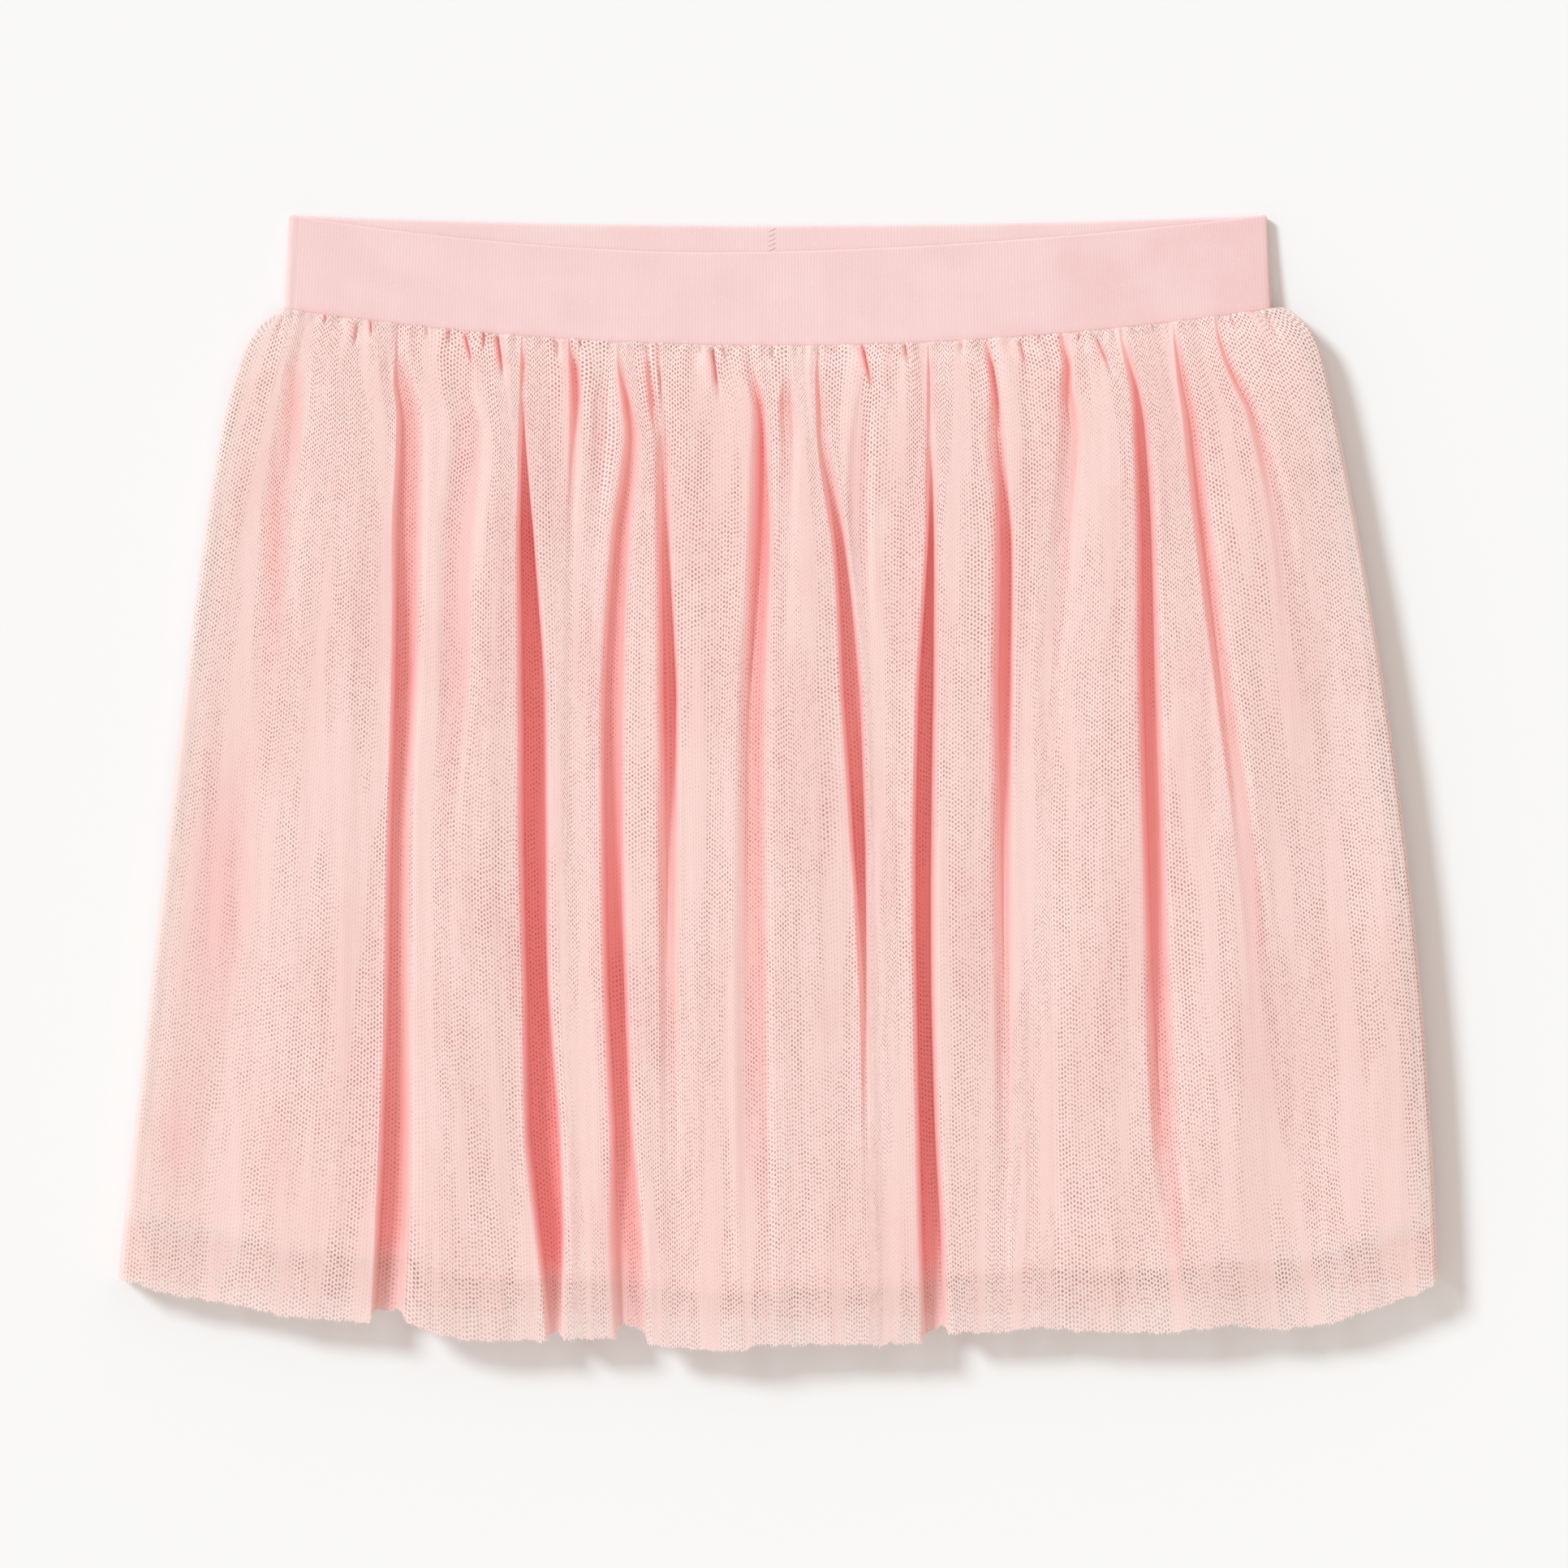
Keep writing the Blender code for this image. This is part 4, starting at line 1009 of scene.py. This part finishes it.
# --- Geometry Nodes: what repeats along a line ---
class NodeLines(Tree):
    """A Geometry Nodes tree under construction, with named inputs for its sizes."""

    def __init__(self, name):
        old = bpy.data.node_groups.get(name)
        if old is not None:
            bpy.data.node_groups.remove(old)
        self.tree = bpy.data.node_groups.new(name, "GeometryNodeTree")
        for name, way in (("Line", "INPUT"), ("Geometry", "OUTPUT")):
            self.tree.interface.new_socket(name, in_out=way, socket_type="NodeSocketGeometry")
        self.into = self.tree.nodes.new("NodeGroupInput")
        self.out = self.tree.nodes.new("NodeGroupOutput")

    def size(self, name, value, kind="NodeSocketFloat"):
        """A named input with its default."""
        made = self.tree.interface.new_socket(name, in_out="INPUT", socket_type=kind)
        made.default_value = value
        return self.into.outputs[name]

    def points(self, spacing):
        """Points at even steps along the line."""
        return self.node("GeometryNodeCurveToPoints", dict(mode="LENGTH"), Length=spacing,
                         Curve=self.into.outputs["Line"])

    def placed(self, points, shape, turn, scale):
        """A shape on every point, turned and scaled."""
        made = self.node("GeometryNodeInstanceOnPoints", {}, Scale=scale.outputs[0],
                         Points=points.outputs[0], Instance=shape.outputs[0],
                         Rotation=turn.outputs[0])
        return made.outputs[0]

    def close(self, geometry, material):
        """End the tree in Realize Instances and Set Material."""
        real = self.node("GeometryNodeRealizeInstances", {}, geometry)
        dressed = self.node("GeometryNodeSetMaterial", {}, real.outputs[0], Material=material)
        self.tree.links.new(dressed.outputs[0], self.out.inputs[0])
        return self.tree


def cut_end_tree(material):
    """Short cut thread ends along a raw edge, each leaning and long in its own way."""
    lines = NodeLines("cut_thread_ends")
    spacing = lines.size("Spacing", 0.0008)
    length = lines.size("Length", 0.0006)
    thick = lines.size("Thickness", 0.00022)
    seed = lines.size("Seed", 3, "NodeSocketInt")
    points = lines.points(spacing)
    stub = lines.node("GeometryNodeMeshCone", dict(fill_type="NGON"), Vertices=5, Radius_Top=0.25,
                      Radius_Bottom=0.5, Depth=1.0)
    turn = lines.node("FunctionNodeRandomValue", dict(data_type="FLOAT_VECTOR"),
                      (1.35, -0.15, -0.45), (1.75, 0.15, 0.45), Seed=seed)
    grow = lines.node("FunctionNodeRandomValue", dict(data_type="FLOAT"), Seed=seed)
    for place, limit in ((2, 0.5), (3, 1.4)):
        lines.feed(grow.inputs[place], limit)
    long = lines.node("ShaderNodeMath", dict(operation="MULTIPLY"), length, grow.outputs[1])
    scale = lines.node("ShaderNodeCombineXYZ", {}, thick, thick, long.outputs[0])
    return lines.close(lines.placed(points, stub, turn, scale), material)


def stitch_tree(material):
    """Slanting overlock loops along a seam."""
    lines = NodeLines("overlock_loops")
    spacing = lines.size("Spacing", 0.0014)
    length = lines.size("Length", 0.0026)
    thick = lines.size("Thickness", 0.00025)
    slant = lines.size("Slant", 0.45)
    points = lines.points(spacing)
    loop = lines.node("GeometryNodeMeshUVSphere", {}, Segments=6, Rings=5, Radius=0.5)
    lean = lines.node("ShaderNodeCombineXYZ", {}, 0.0, 0.0, slant)
    scale = lines.node("ShaderNodeCombineXYZ", {}, length, thick, thick)
    return lines.close(lines.placed(points, loop, lean, scale), material)


def along_line(name, points, tree, sizes):
    """The plain mesh of a tree run along a line of points in metres."""
    curve = bpy.data.curves.new(name + "_line", "CURVE")
    curve.dimensions = "3D"
    spline = curve.splines.new("POLY")
    spline.points.add(len(points) - 1)
    spline.points.foreach_set("co", np.column_stack([points, np.ones(len(points))]).ravel())
    holder = add_object(name + "_line", curve)
    modifier = holder.modifiers.new("along", "NODES")
    modifier.node_group = tree
    for socket in tree.interface.items_tree:
        if socket.in_out == "INPUT" and socket.name in sizes:
            modifier[socket.identifier] = sizes[socket.name]
    graph = bpy.context.evaluated_depsgraph_get()
    mesh = bpy.data.meshes.new_from_object(holder.evaluated_get(graph))
    mesh.name = name
    holder.modifiers.remove(modifier)
    bpy.data.objects.remove(holder, do_unlink=True)
    bpy.data.curves.remove(curve)
    if not mesh.polygons:
        raise RuntimeError(f"{name}: its tree made no faces")
    mesh.shade_smooth()
    return mesh


# --- Settings that a user would change ---
def amount(name, description, default, **limits):
    """A strength, share or length property, not below zero unless its limits say so."""
    limits = {"min": 0.0, **limits}
    return bpy.props.FloatProperty(name=name, description=description, default=default, **limits)


def millimetres(name, description, default, low):
    """A size property in millimetres."""
    return amount(name, description, default, min=low, precision=3)


def tone(name, description, default):
    """A colour property."""
    return bpy.props.FloatVectorProperty(name=name, description=description, default=default,
                                         size=3, min=0.0, max=1.0, subtype="COLOR")


def angle(name, description, degrees):
    """An angle property."""
    return amount(name, description, math.radians(degrees), subtype="ANGLE")


class NetSettings(bpy.types.PropertyGroup):
    """The tulle's net."""

    pitch_mm: millimetres("Wale pitch", "Distance between columns of holes, in mm", 0.88, 0.2)
    course_mm: millimetres("Course pitch", "Distance between holes down a column, in mm", 1.4, 0.2)
    hole_mm: millimetres("Hole length", "Length of a hole, in mm", 0.56, 0.05)
    see_through: amount("See-through", "How clear the holes are", 0.45, max=1.0)
    # Strength of the painted glints on the threads.
    painted_glint_strength: amount("Sparkle", "How pale the threads between holes are", 1.1)
    open_share: amount("Open share", "See-through between the holes", 0.12, max=1.0)
    through_share: amount("Light through", "Share of light let through", 0.25, max=1.0)
    through: tone("Through", "Colour of the light that comes through the net", (0.96, 0.74, 0.69))
    light: tone("Light thread", "Colour of the net on the flutes", (0.97, 0.83, 0.785))
    # Painted glint.
    bright: tone("Bright thread", "Colour where a thread catches the light", (1.0, 0.95, 0.915))
    warm: tone("Warm thread", "Colour of the net where it looks warmer", (0.945, 0.74, 0.695))
    # Painted shade tint for sunk, steep and turned-away net, and below the lining's hem.
    painted_shade_tint: tone("Blush", "Colour of the net where it leans or sinks", (0.945, 0.635, 0.595))
    groove: tone("Groove", "Colour between the wales", (0.8, 0.6, 0.565))
    # Painted shade: the shaded layers seen through the holes.
    hole: tone("Hole", "Colour of the threads round a hole", (0.44, 0.295, 0.272))
    # Painted shade of the troughs: their floors, wales, holes and the part below the lining's hem.
    trough: tone("Trough", "Colour of the net deep in a trough", (0.955, 0.405, 0.395))
    trough_shade_groove: tone("Trough groove", "Colour between the wales in a trough", (0.72, 0.2, 0.2))
    trough_shade_hole: tone("Trough hole", "Colour round a hole in a trough", (0.56, 0.13, 0.13))
    trough_shade_hem: tone("Trough hem", "Colour of a trough below the lining's hem", (0.9, 0.475, 0.46))
    # Painted glow, as emission, in the troughs and on the walls turned from the light.
    warmth: tone("Warmth", "Light caught between the layers of a trough", (0.12, 0.022, 0.022))
    wall_painted_glow: tone("Wall warmth", "Light that comes through a shaded wall", (0.19, 0.03, 0.05))


class JerseySettings(bpy.types.PropertyGroup):
    """The lining's jersey."""

    wale_mm: millimetres("Wale pitch", "Distance between the jersey's wales, in mm", 0.65, 0.2)
    light: tone("Light", "Colour of the lining's wales", (0.92, 0.56, 0.53))
    deep: tone("Deep", "Colour between the lining's wales", (0.88, 0.48, 0.455))


class BandSettings(bpy.types.PropertyGroup):
    """The waistband's rib knit."""

    wale_mm: millimetres("Wale pitch", "Distance between the ribs, in mm", 0.95, 0.2)
    course_mm: millimetres("Course pitch", "Distance between the knit rows, in mm", 0.6, 0.2)
    light: tone("Light", "Colour of the ribs", (0.8, 0.6, 0.59))
    middle: tone("Middle", "Main colour of the knit", (0.75, 0.502, 0.492))
    deep: tone("Deep", "Colour where the knit looks deeper", (0.735, 0.468, 0.46))


class StudioSettings(bpy.types.PropertyGroup):
    """The studio table, its light and the camera."""

    view_width: amount("View width", "Width of the camera's view", 0.4637, unit="LENGTH")
    distance: amount("Camera height", "Camera above the cloth", 3.0, unit="LENGTH")
    key: amount("Key light", "Strength of the soft key light", 2.37)
    key_height: angle("Key elevation", "Key light above the table", 37)
    key_side: angle("Key side", "Key light's bearing from +X", 143)
    key_spread: angle("Key spread", "How wide the key light looks", 15)
    fill: amount("Fill", "Strength of the light all round", 0.73)
    table: tone("Table", "Colour of the studio table", (0.803, 0.8, 0.795))


SETTINGS = {
    "skirt_net": NetSettings,
    "skirt_jersey": JerseySettings,
    "skirt_band": BandSettings,
    "skirt_studio": StudioSettings,
}

# The studio, in metres.
TABLE_HALF = 4.0
TABLE_GAP = 0.0001
CAMERA_OVER = (0.0018, -0.00048)
CAMERA_FOCUS_Z = 0.007
KEY_COLOUR = (0.9, 1.066, 1.16)
FILL_COLOUR = (1.06, 0.955, 0.885, 1.0)

# A record for a panel's cut width, length and area in metres, which nothing here fills.
Cut = namedtuple("Cut", "width length area")


# --- Operators ---
class SKIRT_OT_tulle_front(bpy.types.Operator):
    """Lay the gathered net front, with its flutes, troughs and raw hem"""

    bl_idname = "skirt.tulle_front"
    bl_label = "Tulle Front"

    def execute(self, context):
        material = net_material("pink_net_front", context.scene.skirt_net)
        mesh = cloth_mesh("tulle_front_net", tulle_front_sheet())
        piece = add_piece("tulle_front_net", mesh, material, "tulle_front")
        return {"FINISHED"}


class SKIRT_OT_tulle_back(bpy.types.Operator):
    """Lay the net back flat on the table, with its pressed creases"""

    bl_idname = "skirt.tulle_back"
    bl_label = "Tulle Back"

    def execute(self, context):
        material = net_material("pink_net_back", context.scene.skirt_net)
        mesh = cloth_mesh("tulle_back_net", tulle_back_sheet(), faces_down=True)
        piece = add_piece("tulle_back_net", mesh, material, "tulle_back")
        return {"FINISHED"}


class SKIRT_OT_lining(bpy.types.Operator):
    """Lay the two jersey lining panels"""

    bl_idname = "skirt.lining"
    bl_label = "Lining"

    def execute(self, context):
        material = jersey_material("pink_lining_jersey", context.scene.skirt_jersey)
        for node, points, under in (
            ("lining_front", lining_front_sheet(), "lining_back_jersey"),
            ("lining_back", lining_back_sheet(), "tulle_back_net"),
        ):
            name = node + "_jersey"
            mesh = cloth_mesh(name, points, faces_down=node == "lining_back")
            piece = add_piece(name, mesh, material, node)
        return {"FINISHED"}


class SKIRT_OT_waistband(bpy.types.Operator):
    """Make the flattened waistband loop of rib knit"""

    bl_idname = "skirt.waistband"
    bl_label = "Waistband"

    def execute(self, context):
        material = rib_material("pink_rib_knit", context.scene.skirt_band)
        mesh = cloth_mesh("waistband_rib", band_points(), round_x=True)
        shape = bmesh.new()
        shape.from_mesh(mesh)
        bmesh.ops.recalc_face_normals(shape, faces=shape.faces)
        shape.to_mesh(mesh)
        shape.free()
        piece = add_piece("waistband_rib", mesh, material, "waistband")
        return {"FINISHED"}


class SKIRT_OT_sewing(bpy.types.Operator):
    """Sew the centre back seam and leave the raw hems' cut thread ends"""

    bl_idname = "skirt.sewing"
    bl_label = "Sewing and Thread Ends"

    def execute(self, context):
        net = thread_material("pink_net_thread", context.scene.skirt_net.light)
        sewing = thread_material("pink_sewing_thread", context.scene.skirt_band.middle)
        ends, loops = cut_end_tree(net), stitch_tree(sewing)
        for name, sheet, seed in (
            ("front_cut_threads", tulle_front_sheet(), 3),
            ("back_cut_threads", tulle_back_sheet(), 8),
        ):
            points = np.stack([sheet.x[-1], sheet.y[-1], sheet.z[-1]], axis=-1) * MM
            sizes = {"Spacing": context.scene.skirt_net.pitch_mm * MM, "Seed": seed}
            add_part(name, along_line(name, points, ends, sizes))
        along = np.linspace(*BACK_SEAM_Y, 24)
        seam = np.array([(BACK_SEAM_X, y, BAND_WALL + 0.05) for y in along]) * MM
        name = "centre_back_overlock"
        add_part(name, along_line(name, seam, loops, {}))
        return {"FINISHED"}


class SKIRT_OT_studio(bpy.types.Operator):
    """Set the pale table, the soft light from the upper left and the overhead camera"""

    bl_idname = "skirt.studio"
    bl_label = "Studio"

    def execute(self, context):
        studio = context.scene.skirt_studio
        cloth = ClothMaterial("pale_table")
        cloth.finish(cloth.surface(studio.table, 0.9, Specular_IOR_Level=0.1))
        mesh = bpy.data.meshes.new("studio_table")
        shape = bmesh.new()
        bmesh.ops.create_grid(shape, x_segments=1, y_segments=1, size=TABLE_HALF)
        shape.to_mesh(mesh)
        shape.free()
        mesh.materials.append(cloth.material)
        table = add_object("studio_table", mesh)
        table.location.z = -TABLE_GAP

        lamp = bpy.data.lights.new("soft_key", "SUN")
        lamp.energy = studio.key
        lamp.angle = studio.key_spread
        lamp.color = KEY_COLOUR
        key = add_object("soft_key", lamp)
        key.rotation_euler = (0.0, math.pi / 2 - studio.key_height, studio.key_side)

        world = bpy.data.worlds.new("studio_fill")
        world.use_nodes = True
        sky = world.node_tree.nodes["Background"]
        sky.inputs["Color"].default_value = FILL_COLOUR
        sky.inputs["Strength"].default_value = studio.fill
        context.scene.world = world

        lens = bpy.data.cameras.new("overhead")
        lens.lens = lens.sensor_width * studio.distance / studio.view_width
        lens.clip_start, lens.clip_end = 0.1, 20.0
        camera = add_object("overhead", lens)
        camera.location = (*CAMERA_OVER, studio.distance + CAMERA_FOCUS_Z)
        context.scene.camera = camera
        context.scene.view_settings.view_transform = "Standard"
        return {"FINISHED"}


class SKIRT_PT_panel(bpy.types.Panel):
    """Sizes, colours and the steps that build the skirt"""

    bl_label = "Tulle Skirt"
    bl_idname = "SKIRT_PT_panel"
    bl_space_type = "VIEW_3D"
    bl_region_type = "UI"
    bl_category = "Skirt"

    def draw(self, context):
        for name, group in SETTINGS.items():
            box = self.layout.box()
            box.label(text=group.__doc__)
            for field in group.__annotations__:
                box.prop(getattr(context.scene, name), field)
        for step in STEPS:
            self.layout.operator(step.bl_idname)


STEPS = (
    SKIRT_OT_sewing, SKIRT_OT_tulle_front, SKIRT_OT_tulle_back, SKIRT_OT_lining, SKIRT_OT_waistband,
    SKIRT_OT_studio,
)


def register():
    """Register the settings, the steps and the panel."""
    for group in SETTINGS.values():
        bpy.utils.register_class(group)
    for name, group in SETTINGS.items():
        setattr(bpy.types.Scene, name, bpy.props.PointerProperty(type=group))
    for step in (*STEPS, SKIRT_PT_panel):
        bpy.utils.register_class(step)


def unregister():
    """Take them away again."""
    for step in reversed((*STEPS, SKIRT_PT_panel)):
        bpy.utils.unregister_class(step)
    for name in SETTINGS:
        delattr(bpy.types.Scene, name)
    for group in reversed(list(SETTINGS.values())):
        bpy.utils.unregister_class(group)


def main():
    """Build the skirt and its studio."""
    register()
    bpy.ops.skirt.sewing()
    bpy.ops.skirt.tulle_front()
    bpy.ops.skirt.tulle_back()
    bpy.ops.skirt.lining()
    bpy.ops.skirt.waistband()
    bpy.ops.skirt.studio()


if __name__ == "__main__":
    main()
